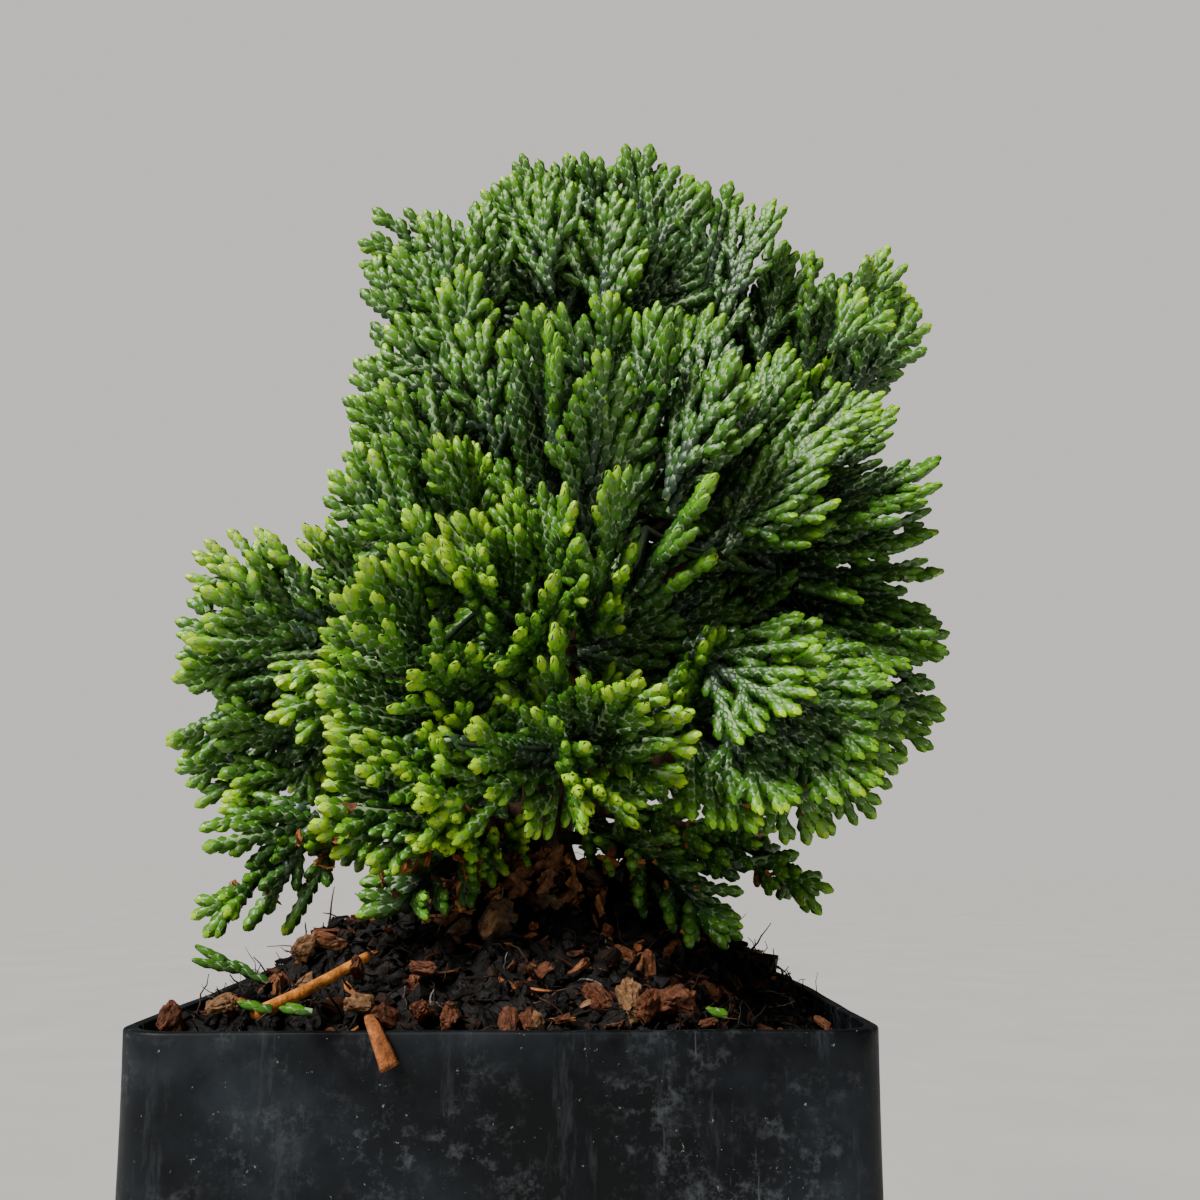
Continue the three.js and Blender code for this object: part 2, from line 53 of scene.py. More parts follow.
LINE_STEPS = 60           # steps in a curve, or between two of its given places
OCTAVES = 3
GOLDEN = (1 + 5**0.5) / 2
GOLDEN_TURN = math.pi * (3 - math.sqrt(5))

# Camera: the photograph's viewpoint, in millimetres and degrees.
CAMERA_AT = (3.55, -138.52, 92.72)
CAMERA_TURNS = (11.481, 2.132, 0.212)  # pitch, yaw and roll
CAMERA_LENS = 36.9
SENSOR = 36.0
CLIP = (0.01, 20.0)  # the nearest and furthest seen, in metres

# Studio, in linear light and metres. Lamps: kind, place, target, power, colour and form.
MIDDLE = (0.0, 0.0, 0.12)
LAMPS = {
    "key": ("SUN", (-0.4, -0.38, 0.55), (0, 0, 0), 7.0, (1.0, 0.98, 0.94), dict(angle=0.45)),
    "fill": ("AREA", (0.6, -0.6, 0.3), MIDDLE, 0.6, (0.93, 0.97, 1.0), dict(shape="SQUARE", size=0.6)),
}
BACKDROP = (0.73, 0.705, 0.67)
AMBIENT = 0.09
FLOOR_RADIUS = 6.0
FLOOR_SIDES = 128
FLOOR_TONES = ((0.3, (0.442, 0.437, 0.428)), (0.7, (0.478, 0.469, 0.455)))

# Pot and compost, as in the solids.
GAP = 0.3
RIM = 78.0
POT_WIDTH = 64.0
COLLAR_DEPTH = 18.0
COLLAR_TAPER = 0.01
COLLAR_STEP = 0.6
FOOT_WIDTH = 56.0
WALL = 1.1
FLOOR = 1.6
CORNER_SHARE = 0.14
DRAIN_HOLE = 3.2
DRAIN_AT = 15.0
SOIL_EDGE = -3.0
MOUND_AT = (2.5, 2.0)
MOUND_RISE = 14.3
MOUND_SPREAD = 15.0
MOUND_TOP_RADIUS = 7.0
DIP_AT = (26.0, -22.0)
DIP_DEPTH = 3.5
DIP_SPREAD = 12.0
SQUARENESS = 10.0

# What the pot and compost show beyond their solids.
EDGE = 0.25             # rounding of the pot's edges
POT_SIDE_STEPS = 24
POT_CORNER_STEPS = 8
BODY_RINGS = (12, 24, 36, 48, 58.8)
COLLAR_RINGS = (64, 68, 71, 74, 76)
DRAIN_SIDES = 24
WAVE_SIZE = 22.0
WAVE_RIM = 0.45
WAVE_WALL = 0.12
WAVE_DEPTH = 9.0
FOLD_AT = 19.0          # where the front wall is pushed in under the rim
FOLD_SIZE = 4.0
FOLD_DEPTH = 0.5
CRISP = math.radians(40)
SOIL_SPOKES = 300
SOIL_RINGS = 100
SOIL_LUMPS = ((7.0, 1, 1.3), (3.2, 2, 1.6), (1.3, 3, 0.5))  # size, seed and height
HEAPS = (               # place, rise and spread
    (-19.0, -12.0, 4.6, 8.5), (3.0, 0.0, 5.0, 7.5), (2.0, -25.0, 2.2, 9.0), (-24.0, -24.0, 2.2, 6.0),
    (14.0, -22.0, 2.0, 6.0), (24.0, 20.0, 3.5, 9.0), (-12.0, -2.0, 1.5, 8.0), (1.5, -5.0, 4.8, 5.6),
)
WET = 0.5               # roughness of damp compost

# What lies in the compost, by its piece's name.
CRUMBS = {              # colour, roughness, how many, size's logarithm, least stretch and lift
    "dark_crumbs": ((0.003, 0.0021, 0.0018), WET, 2600, -0.75, 0.7, 0.1),
    "brown_crumbs": ((0.02, 0.01, 0.006), 0.85, 500, -0.7, 0.6, 0.2),
}
CHIPS = {               # colour, how many, and most half length
    "bark_chips_red": ((0.085, 0.028, 0.013), 230, 1.8),
    "bark_chips_dark": ((0.005, 0.0032, 0.0026), 420, 1.9),
    "bark_chips_tan": ((0.16, 0.08, 0.04), 90, 1.4),
    "bark_chips_orange": ((0.26, 0.09, 0.026), 130, 1.2),
}
FIBRES = {              # colour and how many
    "fibres_dark": ((0.012, 0.009, 0.007), 1500),
    "fibres_brown": ((0.07, 0.035, 0.018), 420),
    "fibres_grey": ((0.16, 0.15, 0.13), 110),
}
FIBRE_STEPS = 5
FIBRE_LENGTH = (1.5, 5.5)
FIBRE_RADIUS = (0.06, 0.19)
FIBRE_RISE = (0.35, 0.4)  # how steeply they start, and its spread
FIBRE_SWAY = 0.35
FIBRE_DROOP = 0.12
FIBRE_END = 0.35        # share of the radius at their ends
FIBRE_REACH = 30.6      # how far from the pot's middle they spread
COLLAR_BARK = {         # as the chips; the orange one is brightened, painted light in the foliage's shade
    "collar_bark_brown": ((0.19, 0.08, 0.036), 80, 2.2),
    "collar_bark_orange_painted_light": ((0.55, 0.22, 0.07), 34, 1.5),
}
COLLAR_AT = ((-8.0, 9.0), (-13.0, -4.0))  # where bark lies thick before the trunk, across and deep
CHIP_STATIONS = ((-0.95, 0.75), (-0.45, 0.95), (0.0, 1.1), (0.45, 0.9), (0.95, 0.7))
CHIP_SIDES = 7
CHIP_SPREAD = (0.6, 1.25)  # how unevenly their corners lie
CHIP_BEND = 0.06
CRUMB_SPREAD = (0.7, 1.25)
LUMP_LEVEL = 4          # fineness of the torn lumps of bark
LUMP_SIZE = 0.72
DRY_TWIG = ((-21.6, -28.3, 0.9), (-17.8, -24.6, 2.6), (-13.4, -20.0, 5.0))
RIM_CHIP = ((-11.6, -30.2, 1.0), (-10.9, -32.2, 0.45), (-10.1, -32.65, -1.1), (-9.4, -32.6, -2.7))
FRONT_BARK = {          # colour, then places above the rim with half lengths
    "front_bark_red": ((0.085, 0.028, 0.011), (
        (-10.5, -28.5, 0.8, 1.7), (-7.5, -28.0, 1.2, 1.9), (-5.0, -29.0, 0.8, 1.6),
        (0.0, -29.2, 0.4, 1.8), (1.8, -29.0, 0.5, 1.3), (13.8, -26.0, 1.6, 2.6),
        (12.0, -27.4, 1.4, 2.4), (7.8, -24.5, 1.8, 2.2), (15.6, -12.0, 5.0, 1.5),
        (14.9, -14.0, 3.6, 1.4), (-1.0, -15.0, 9.0, 1.3), (-28.5, -28.5, 0.6, 1.6),
        (-14.2, -21.0, 4.0, 1.6), (-8.0, -22.0, 4.2, 1.5), (28.8, -20.0, -1.0, 1.2),
        (17.0, -28.6, 0.3, 1.0),
    )),
    "front_bark_tan": ((0.15, 0.075, 0.032), (
        (-12.8, -27.0, 1.6, 1.7), (-20.0, -16.0, 5.6, 1.6), (-2.2, -18.0, 7.6, 1.7),
        (27.5, 26.5, 1.8, 1.4), (29.5, 25.0, 1.6, 1.5), (10.5, -26.0, 1.6, 2.2),
        (2.5, -29.4, 0.5, 0.9), (-24.8, -26.5, 1.5, 1.5),
    )),
}
PAINTED_LIGHT_BARK = {         # the same on the compost under the crown, brighter as painted light in its shade
    "painted_light_bark_red": ((0.17, 0.062, 0.024), (
        (15.6, -12, 1.6), (14.9, -14, 1.5), (12.5, -19, 2.0), (15.8, -20, 1.8), (10.5, -17, 1.6),
        (9.0, -13, 1.3), (-1.0, -13.5, 1.5), (-9.0, -20, 1.4), (-18.0, -15, 2.0), (-22.0, -18, 1.6),
        (20.5, -5, 1.8), (24.0, 0, 1.6), (27.5, 3, 1.4), (-15.0, -11, 1.7), (19.0, -14, 1.5),
        (6.0, -21, 1.7),
    )),
    "painted_light_bark_dull": ((0.1, 0.06, 0.035), (
        (-1.5, -16, 2.7), (3.0, -13, 2.0), (-5.5, -15, 1.8), (22.0, -9, 1.9), (8.0, -9, 1.8),
    )),
}
SPRIG_SIZE = 0.78       # thickness of the fallen sprigs' shoots
FALLEN = (              # root and tip above the rim, and forks by place, angle and length
    ((-21.6, -23.6, 3.1), (-28.0, -25.0, 5.9), ((1.6, 0.6, 2.2), (2.6, -0.55, 4.6), (4.2, 0.5, 1.8))),
    ((-20.2, -28.0, 1.2), (-23.0, -28.8, 1.9), ()),
    ((-16.6, -28.8, 1.2), (-19.4, -29.2, 1.4), ((0.8, 0.7, 1.8),)),
    ((18.6, -28.6, 0.8), (16.8, -28.9, 1.4), ()),
)
FLAKES = {              # dead scales and bark caught in the lowest shoots: colour and how many
    "dead_flakes_brown": ((0.12, 0.045, 0.02), 70),
    # orange bark and dead scales, coloured brighter than the compost's bark as painted light in the low
    # foliage's shade
    "dead_flakes_orange_painted_light": ((0.4, 0.15, 0.04), 50),
}
FLAKE_HEIGHT = 21.0     # height above the rim under which they are
FLAKE_BACK = 12.0       # and how far back
FLAKE_SPOTS = (((-18.5, -10, 16), 9), ((-13, -14, 14.5), 9), ((-4.5, -18, 14.5), 7), ((8, -15, 13.5), 6))

# Trunk and boughs, as in the solids.
GROUND = RIM + SOIL_EDGE + MOUND_RISE + GAP
TRUNK_LINE = ((2.5, 2, 0), (2.6, 2, 6), (4.5, 3, 28), (5.5, 4, 48), (8, 3, 64))
TRUNK_FOOT = 3.1
TRUNK_TIP = 1.1
FLARE = 1.5
FLARE_HEIGHT = 3.0
FLARE_ROOTS = 5
FLARE_RIDGE = 0.25
TRUNK_PLACES = 200
BOUGH_FOOT = 1.25
BOUGH_TIP = 0.8
STEM_TIP = 0.55
BOUGH_ENTERS = 0.74
OPEN_ENTERS = 0.45
BOUGH_SAG = 0.08
STEM_ARCH = 0.25
STEM_ENDS = 0.5
LIFT = 0.35

# Sprays, as in the solids.
SPRAYS = 11
SPRAY_SHORT = 0.07
NEAR_UPRIGHT = 0.3
SPRAY_ROLL = 0.7
OPEN_FORKS = (0.3, 0.62, 0.94)
OPEN_SPLAY = (0.9, 1.3)
OPEN_LENGTH = (1.1, 1.5)
BOUGH_FORKS = (0.45, 0.62, 0.8, 0.95)
BOUGH_FAN = (6.0, 9.5)
SWELL = 0.2
CORE_SET_BACK = 0.18
CORE_CORNERS = 12
SEED = 100

# The masses of foliage: centre above the rim, reach and fork height as in the solids, how much
# painted shade darkens its colour, from 0 in full light to 2 deep in the crown, with painted light
# below 0, and where it differs in its habit.
# That is its droop and whether it sits on the trunk, as in the solids, how far its fans are pressed
# flat from front to back, how long they are, how far they rise, how far they lie on their sides,
# how loosely they keep to that, how many finer ones there are, how far apart their shoots are,
# whether it has fewer fans, and the height above the rim where they end.
HABIT = dict(
    droop=None, on_trunk=False, press=0.4, long=1.0, rise=0.3, lie=0.0, loose=1.0, sprays=8, node=1.0,
    thin=False, least=0.0,
)
MASSES = {
    "top": ((8.5, 3, 90), (12, 12, 12.5), 70, 0.8, dict(on_trunk=True, loose=0.6)),
    "top_left": ((-9.5, 3, 82), (11.5, 11, 10), 63, 0.6, dict(loose=0.25, press=0.25)),
    "top_right": ((24, 2, 83), (12, 12, 11), 66, 0.8, dict(loose=0.6)),
    "wing": ((40.5, 2, 77), (8.7, 9, 9), 54, 0.25, dict(loose=0.8)),
    "left_upper": ((-11.5, -4, 65), (9.4, 10, 11), 47, 0.3, dict(loose=0.3)),
    "left_shoulder": ((-15, -8, 50), (8, 10, 8), 36, 0.2, dict(loose=0.4)),
    "left": ((-30, -2, 38.5), (10.3, 13, 11), 29, -0.5, dict(press=0.8, node=1.15)),
    "left_low": ((-30.7, 2, 26.5), (10, 12, 7), 22.5, -0.3, dict(node=1.15, press=0.8, rise=-0.1)),
    "front_upper": ((5.5, -15, 62), (10, 10, 11), 52, 0.7, {}),
    "front_upper_right": ((20.5, -14, 62.5), (10.5, 10, 10), 48, 0.6, dict(lie=0.8, loose=0.5)),
    "front_middle": ((14, -23, 47.5), (14.5, 9, 7.3), 36, 0.2, dict(lie=0.5, loose=0.5)),
    "front_centre": ((-1, -24, 38), (8.5, 8, 8), 29, -0.3, dict(press=0.75, node=1.2)),
    "front_left": ((-12, -22, 33), (8.6, 9, 9), 24.5, -0.6, dict(press=0.8, rise=0.4, sprays=7, node=1.4)),
    "front_low": ((5, -29, 24.5), (10, 9, 7.3), 20, -0.6, dict(press=0.55, rise=0.4, sprays=7, node=1.3)),
    "front_low_left": ((-12, -24, 20), (7, 8, 7), 17, -0.6, dict(press=0.8, rise=0.4, sprays=6, node=1.4)),
    "right_middle": (
        (36.5, -5, 54.5), (10.8, 13, 11), 42, 0.6, dict(long=1.2, rise=-0.05, lie=1.0, loose=0.4)),
    "right_low": ((40, 0, 38.5), (10.2, 13, 10), 31, 0.9, dict(long=1.2, rise=-0.2, lie=1.0, loose=0.5)),
    "right_front_low": (
        (26, -19, 26), (10.7, 9, 9.6), 23, 0.45, dict(press=0.6, rise=-0.1, lie=0.4, loose=0.6)),
    "back_top": ((8, 19, 83), (12, 10, 11), 64, 0.35, {}),
    "back_left": ((-13, 17, 62), (10, 12, 12), 50, 0.3, {}),
    "back_right": ((28, 20, 62), (13, 12, 13), 48, 0.4, {}),
    "back_middle": ((6, 27, 56), (13, 10, 13), 43, 0.3, {}),
    "back_low_left": ((-22, 21, 34), (12.5, 12, 12.5), 27, 0.2, {}),
    "back_low": ((4, 30, 29), (13, 11, 12.5), 24, 0.2, {}),
    "back_low_right": ((30, 21, 31), (13, 12.5, 12.5), 25.5, 0.4, {}),
    "middle_left": ((-8, 5, 46), (9, 9, 9), 38, 1.8, dict(on_trunk=True)),
    "middle_right": ((18, 3, 40), (10, 10, 8), 34, 2.0, dict(on_trunk=True)),
    "low_left": (
        (-8, -17, 10), (9, 7, 6.5), 15.5, 0.3, dict(droop=0.25, on_trunk=True, least=8.5, long=0.85)),
    "hang_left": ((-25, -6, 12.5), (8, 6, 7.5), 19, 0.8, dict(droop=0.7, thin=True, long=0.8, node=1.2)),
    "hang_right": (
        (24.5, -4, 13.5), (8, 6, 6), 20.5, 1.0, dict(droop=0.35, least=7.5, long=0.85, thin=True)),
    "low_right": (
        (15.5, -13, 10), (8, 6, 6.5), 15.5, 1.2,
        dict(droop=0.5, on_trunk=True, least=5.5, long=0.72, thin=True)),
}

# Single fans at the crown's outline and inside it, from and to, above the rim, and how narrow.
REACHING = {
    "top_left": [
        ((-8, 2, 84), (-20.6, 0, 87.8)), ((-3, 6, 73), (-8, 5, 90)), ((-4, 5, 62), (-14, 5, 76)),
        ((-6, 2, 77), (-12, 0, 90.5)), ((-3, -6, 65), (-14.5, -7, 82)), ((-2, -7, 59), (-16, -9, 71)),
    ],
    "top": [
        ((5, 3, 88), (4.5, 1, 99.8)), ((9, 2, 89), (10.5, 0, 100.6)), ((0, 7, 76), (-2, 7, 93)),
        ((3, 3, 81), (-4.5, 2, 95.5)), ((4, 2, 84), (0, 0, 98)),
    ],
    "right_middle": [((22, 4, 46), (44, 3, 50)), ((22, 5, 41), (46, 3, 44.5))],
    "hang_left": [
        ((-21, -6, 18), (-31.3, -11, 13), 0.7), ((-21.5, -7, 17), (-26.6, -11, 5.4), 0.5),
        ((-19.5, -6, 17), (-22, -8, 4.6), 0.35), ((-22, -6, 19), (-33, -9, 17.5), 0.6),
    ],
    "low_right": [((16, -5, 13), (29.4, -8, 11.8), 0.35), ((15, -8, 12), (21, -11, 6.5), 0.5)],
    "middle_left": [
        ((2, 2, 18), (-12, 4, 22)), ((2, 0, 15.5), (-9, -3, 19.5)), ((5, 7, 55), (-12, 8, 62)),
        ((5, 7, 60), (-10, 8, 70)), ((5, 9, 51), (-10, 11, 56)),
    ],
    "middle_right": [((6, 2, 18), (17, 5, 21))],
    "back_left": [((2, 6, 56), (-5, 12, 73)), ((5, 7, 60), (4, 15, 75))],
    "back_right": [((11, 6, 56), (17, 12, 72))],
    "top_right": [((20, 6, 69), (30, 6, 84.5))],
    "wing": [
        ((37, 2, 77), (49, 1, 81.7)), ((36.5, 1, 75), (43.6, 0, 87)), ((37, 4, 75), (46.5, 4, 84.5)),
        ((23, 6, 65), (35, 6, 78.5)),
    ],
    "left": [((-28, -3, 37), (-39.8, -4, 39.3)), ((-28, -1, 31), (-40, -2, 32.6))],
    "left_low": [((-28, 1, 24), (-39.5, 0, 23.2))],
    "right_low": [
        ((37, -3, 37), (49.3, -4, 37.4)), ((37, -4, 33), (47, -4, 29)), ((35, -5, 33), (44, -6, 24.5)),
    ],
    "right_front_low": [
        ((30, -12, 29), (41, -9, 23)), ((29, -12, 26), (37.5, -10, 18.3)), ((26, -14, 24), (31, -13, 15.5)),
    ],
}

# Places, above the rim, and radii that the photographed crown leaves free: beside the wing, at the
# left, as hollows between the plates of the front, and as a slit between the left's two masses.
NOTCHES = [
    ((37.6, -6, 87.4), 3.8), ((38.2, 1, 88.2), 3.8), ((38.8, 8, 89), 3.8), ((-38, 0, 73), 19.3),
    ((30, 1, 98.5), 5.6), ((30, 9, 99.5), 5.6), ((35.6, -5, 82.7), 2.4), ((36, 1, 83.6), 2.4),
    ((36.4, 7, 84.5), 2.4), ((9, -19, 41.5), 4.2), ((15.5, -20, 41), 4.8), ((22.5, -19, 41), 4.6),
    ((-4, -16.5, 59), 3.9), ((-0.5, -26, 27.5), 3.2),
] + [((-36.8 - 0.29 * y, y, 30.1 + 0.11 * y), 2.5) for y in range(-15, 13, 3)]

# Fans: the finer form of a spray. An axis bears shoots left and right in its own plane.
SPRAY = dict(shade=0.0, free=False, on_trunk=False, narrow=1.0)
INNER_SPRAYS = 5      # shorter ones that fill a mass behind the others
INNER_REACH = 0.68    # share of the reach to which those grow
INNER_SHADE = 2.5
FINE_REACH = 1.03     # the same for the finer sprays
FINE_SHORT = 0.2      # how far a finer spray's tip may fall short of the reach
FAN_LENGTH = (12.0, 17.0)
ROLL_FIELD = 2.6      # how far fans roll from the upright, as a smooth field through the crown
ROLL_SIZE = 15.0      # size of that field's features
TRUNK_FANS = (20.0, 86.0)  # heights above the rim between which the trunk bears fans
TRUNK_FAN_STEP = 1.4
TRUNK_FAN = (13.0, 19.0)
TRUNK_FAN_RISE = (0.3, 0.9)
TRUNK_FAN_ROLL = 1.4
FAN_LEAST = 4.5       # shortest fan that is worth growing
FAN_TURNS = 3         # tries at turning a fan outwards until the crown has room for it
FAN_ROOM = 7.0        # length of fan that ends those tries
FORWARD = 0.3         # how far the finer sprays lean to the mass's own axis
FOCUS = np.array([5.0, 4.0, RIM + 42.0])  # place in the crown that its shoots point away from
FLOW = 0.85           # how much a fan points away from that rather than from its own mass
BLEND = 9.0           # how sharply the masses' surfaces run into each other
FURTHEST = 1.3        # most stretch of a mass's reach where it runs into its neighbour
LEAST_STRETCH = 0.9   # and the least that is tried, in so many steps
STRETCH_STEPS = 17
BURIED = 0.75         # depth in a neighbour under which a fan's tip has no room
OUTSIDE = 1.02        # depth in the crown from which a place is outside it
BOUGH_DROP = 0.25     # how far the fans on an open mass's limb point down
END_ROLL = 0.3        # roll of the fan at such a mass's end
REACHING_ROLL = 0.4   # most roll of the single fans
SHOOT_MOST = 14.0     # longest shoot on an axis, and shortest of all
LEAST_SHOOT = 1.7
SHOOTS = dict(        # spacing, angle at the foot, angle near the tip and the foot, share of length
    node=2.1, splay=(0.5, 0.7), opening=(0.05, 0.42), lengths=(0.75, 1.05), most=SHOOT_MOST, first=0.8)
TWIGS = dict(
    node=2.2, splay=(0.55, 0.8), opening=(0.1, 0.35), lengths=(0.5, 0.95), most=3.9, first=1.6, dead=True)
THICKNESS = (0.9, 1.08)  # spread of the shoots' thickness
AXIS_SIZE = 1.05      # thickness of an axis
AXIS_TURN = 0.3       # most turn of an axis over its length
LEFT_OVER = 0.6       # share of a least length that has to be left for more to grow
MOST_SPREAD = (0.6, 1.0)  # spread of the greatest lengths
NODE_SPREAD = (0.85, 1.15)  # spread of the spacing
HUES = (0.2, 0.3)     # spread of the age, in pitches, from fan to fan and from shoot to shoot
STRAIGHT = 1e-4       # bend under which a shoot is reckoned with as if it had this one
SAMPLE = 0.8          # spacing of the places along a shoot where its room is tested
REACH_MOST = 1.08     # depth in the crown where a shoot stops
CROWN_BOX = ((-38.5, -35.65, 0.0), (48.27, 38.53, 178.19))  # a little inside the solids' box
OVERLAP = 0.8         # how far, in depth, a shoot may enter its neighbour's space
OVER_SOIL = 0.8
OUT_OF_PLANE = 0.14   # most lean of a shoot out of its fan's plane
CUP = 0.012           # how far fans are cupped, per millimetre
UPTURN = 0.008        # how far fans turn up towards their tips, per millimetre
DEAD = 0.02           # share of twigs that are dead and brown
DEAD_DEPTH = 0.7      # depth in the crown under which they are found
DEAD_LOW = 0.1        # and that share under the crown
DEAD_BELOW = 30.0     # height above the rim under which they are found

# Scales: decussate pairs, one pair on the faces and one on the edges in each pitch.
PITCH = 1.28
LAST_SCALE = 0.3      # distance of the last one from the tip
HALF_WIDTH = 0.53     # of the shoot under its scales, in the fan's plane
HALF_THICKNESS = 0.45
DOME = 1.45           # length over which a tip closes
DOME_POWER = 2.2      # how blunt that is
TIP_SWELL = 0.1
SWELL_LENGTH = 3.5
CORE_SIDES = 6
CORE_FOOT = (0.7, 0.3)  # share of the radius at a shoot's foot, and gain in each millimetre
CORE_SHOULDER = 0.6   # where in the dome the core's last ring is
CORE_END = 0.03       # distance of its end from the tip
YOUNG_OVERLAP = 0.1   # how much larger the last scales are, so that they overlap
YOUNG_FLAT = 0.55     # how much flatter the very last scales are
YOUNG_SCALES = 4
UNSEEN = 0.1          # depth in the crown from which shoots bear no scales
CORE_OUT = 1.015      # the shoot under the scales, which shows between them
SCALE = np.array([    # along, round and out: shares of half a pitch, a quarter turn and the radius
    (-0.93, 0.0, 0.98), (-0.4, 0.5, 1.0), (0.25, 0.7, 1.06), (0.97, 0.0, 1.16), (0.25, -0.7, 1.06),
    (-0.4, -0.5, 1.0), (0.2, 0.0, 1.6),
])
SCALE_FACES = np.array([(i, (i + 1) % 6, 6) for i in range(6)])

# Scale colours from the youngest and best lit to the oldest and most shaded, as linear light, and for
# each but the last how far from the tip, in pitches of age with the painted shade added, it ends.
TINTS = {
    "yellow": (0.34, 0.57, 0.008),
    "lime": (0.19, 0.44, 0.006),
    "fresh": (0.09, 0.25, 0.006),
    "green": (0.05, 0.165, 0.006),
    "deep": (0.025, 0.09, 0.009),
    "dark": (0.012, 0.04, 0.008),
    "blue": (0.03, 0.062, 0.034),
    "dead": (0.22, 0.085, 0.02),
}
TINT_ENDS = (0.5, 1.15, 2.0, 4.2, 8.0)
INNER_AGE = 3.2       # how much older, in pitches, shoots at a fan's foot are than at its edge
BURIED_AGE = 6.0      # and by how much more with depth under outer leaves: older growth and painted shade
OUTER_LEAVES = 0.85
FIRST_AGE = 0.15
BLUE = 0.5            # share of the dark shoots that are blue
PALE_LINES = (0.29, 0.41, 0.2)


def random_from(seed):
    """The solids' own random source, so that their sprays can be grown again."""
    state = seed & WORD

    def draw():
        nonlocal state
        state = (state + 0x6D2B79F5) & WORD
        t = ((state ^ (state >> 15)) * (state | 1)) & WORD
        t ^= (t + (((t ^ (t >> 7)) * (t | 61)) & WORD)) & WORD
        return ((t ^ (t >> 14)) & WORD) / (WORD + 1)

    return draw


def between(draw, least, most):
    return least + (most - least) * draw()


def unit(vectors):
    vectors = np.asarray(vectors, float)
    return vectors / np.maximum(np.linalg.norm(vectors, axis=-1, keepdims=True), 1e-9)


def above_rim(place):
    return np.array(place) + UP * RIM


class Curve:
    """A curve by its points, read at even shares of its length."""

    def __init__(self, points):
        self.points = np.asarray(points, float)
        steps = np.linalg.norm(np.diff(self.points, axis=0), axis=1)
        self.marks = np.concatenate([[0.0], np.cumsum(steps)])
        self.length = self.marks[-1]

    def at(self, share):
        where = np.asarray(share) * self.length
        return np.stack([np.interp(where, self.marks, self.points[:, i]) for i in range(3)], axis=-1)

    def tangent(self, share):
        return unit(self.at(min(share + 0.005, 1)) - self.at(max(share - 0.005, 0)))


def bezier(start, bend, end):
    t = np.linspace(0, 1, LINE_STEPS + 1)[:, None]
    return Curve((1 - t) ** 2 * start + 2 * t * (1 - t) * bend + t * t * end)


def smooth_line(places):
    """A centripetal curve through places."""
    places = np.asarray(places, float)
    ends = np.vstack([2 * places[0] - places[1], places, 2 * places[-1] - places[-2]])
    points = [places[0]]
    for i in range(len(places) - 1):
        a, b, c, d = ends[i:i + 4]
        ab, bc, cd = (np.linalg.norm(q - p) ** 0.5 for p, q in ((a, b), (b, c), (c, d)))
        start = ((b - a) / ab - (c - a) / (ab + bc) + (c - b) / bc) * bc
        end = ((c - b) / bc - (d - b) / (bc + cd) + (d - c) / cd) * bc
        for t in np.linspace(0, 1, LINE_STEPS + 1)[1:]:
            points.append(
                (2 * t**3 - 3 * t**2 + 1) * b + (t**3 - 2 * t**2 + t) * start
                + (-2 * t**3 + 3 * t**2) * c + (t**3 - t**2) * end
            )
    return Curve(points)


trunk_curve = smooth_line([(x, y, GROUND + z) for x, y, z in TRUNK_LINE])
trunk_shares = np.linspace(0, 1, TRUNK_PLACES + 1)
trunk_places = trunk_curve.at(trunk_shares)


def soil_height(x, y):
    from_mound = np.hypot(x - MOUND_AT[0], y - MOUND_AT[1])
    slope = np.maximum(from_mound - MOUND_TOP_RADIUS, 0) / MOUND_SPREAD
    from_dip = np.hypot(x - DIP_AT[0], y - DIP_AT[1])
    dip = DIP_DEPTH * np.exp(-((from_dip / DIP_SPREAD) ** 2))
    return RIM + SOIL_EDGE + MOUND_RISE * np.exp(-slope * slope) - dip


def settle(name, index, at, reach, fork, shade, habit):
    """Where a mass's limb runs and which way its shoots point."""
    mass = SimpleNamespace(name=name, index=index, shade=shade, **{**HABIT, **habit})
    mass.open = mass.droop is not None
    mass.least += RIM
    mass.root = trunk_places[trunk_places[:, 2] <= RIM + fork][-1]
    mass.centre = np.array([at[0], at[1], RIM + at[2]], float)
    mass.reach = np.array(reach, float)
    if not mass.open:
        mass.centre = mass.centre + unit(mass.root - mass.centre) * mass.reach * SWELL
        mass.reach = mass.reach * (1 + SWELL)
    outward = unit(mass.centre - mass.root)
    mass.axis = unit([outward[0], outward[1], -mass.droop]) if mass.open else unit(outward + LIFT * UP)
    mass.core = mass.centre - mass.axis * CORE_SET_BACK * mass.reach.min()
    entry = mass.centre - outward * BOUGH_ENTERS / np.linalg.norm(outward / mass.reach)
    if mass.open:
        entry[2] = mass.centre[2] + mass.reach[2] * OPEN_ENTERS
    start = mass.root if mass.on_trunk else entry
    mass.bough = None
    if not mass.on_trunk:
        run = entry - mass.root
        bend = mass.root + run * 0.5
        bend[2] -= BOUGH_SAG * math.hypot(run[0], run[1]) * (-1 if mass.open else 1)
        mass.bough = bezier(mass.root, bend, entry)
    mass.stem = Curve([start, mass.core])
    if mass.open:
        tip = mass.centre + mass.axis * mass.reach * STEM_ENDS
        bend = (start + tip) / 2
        bend[2] += STEM_ARCH * np.linalg.norm(tip - start)
        mass.stem = bezier(start, bend, tip)
    return mass


masses = [settle(name, index, *traits) for index, (name, traits) in enumerate(MASSES.items())]
centres = np.array([mass.centre for mass in masses])
reaches = np.array([mass.reach for mass in masses])


def depths(points):
    """How deep points lie in every mass: 0 at a centre, 1 at the reach. Masses run down the rows."""
    offset = (points[None, :, :] - centres[:, None, :]) / reaches[:, None, :]
    return np.linalg.norm(offset, axis=2)


def crown_depth(depth):
    """How deep points lie in the crown, in which each mass's surface runs into its neighbours'."""
    nearest = depth.min(axis=0)
    return nearest - np.log(np.exp(-BLEND * (depth - nearest)).sum(axis=0)) / BLEND


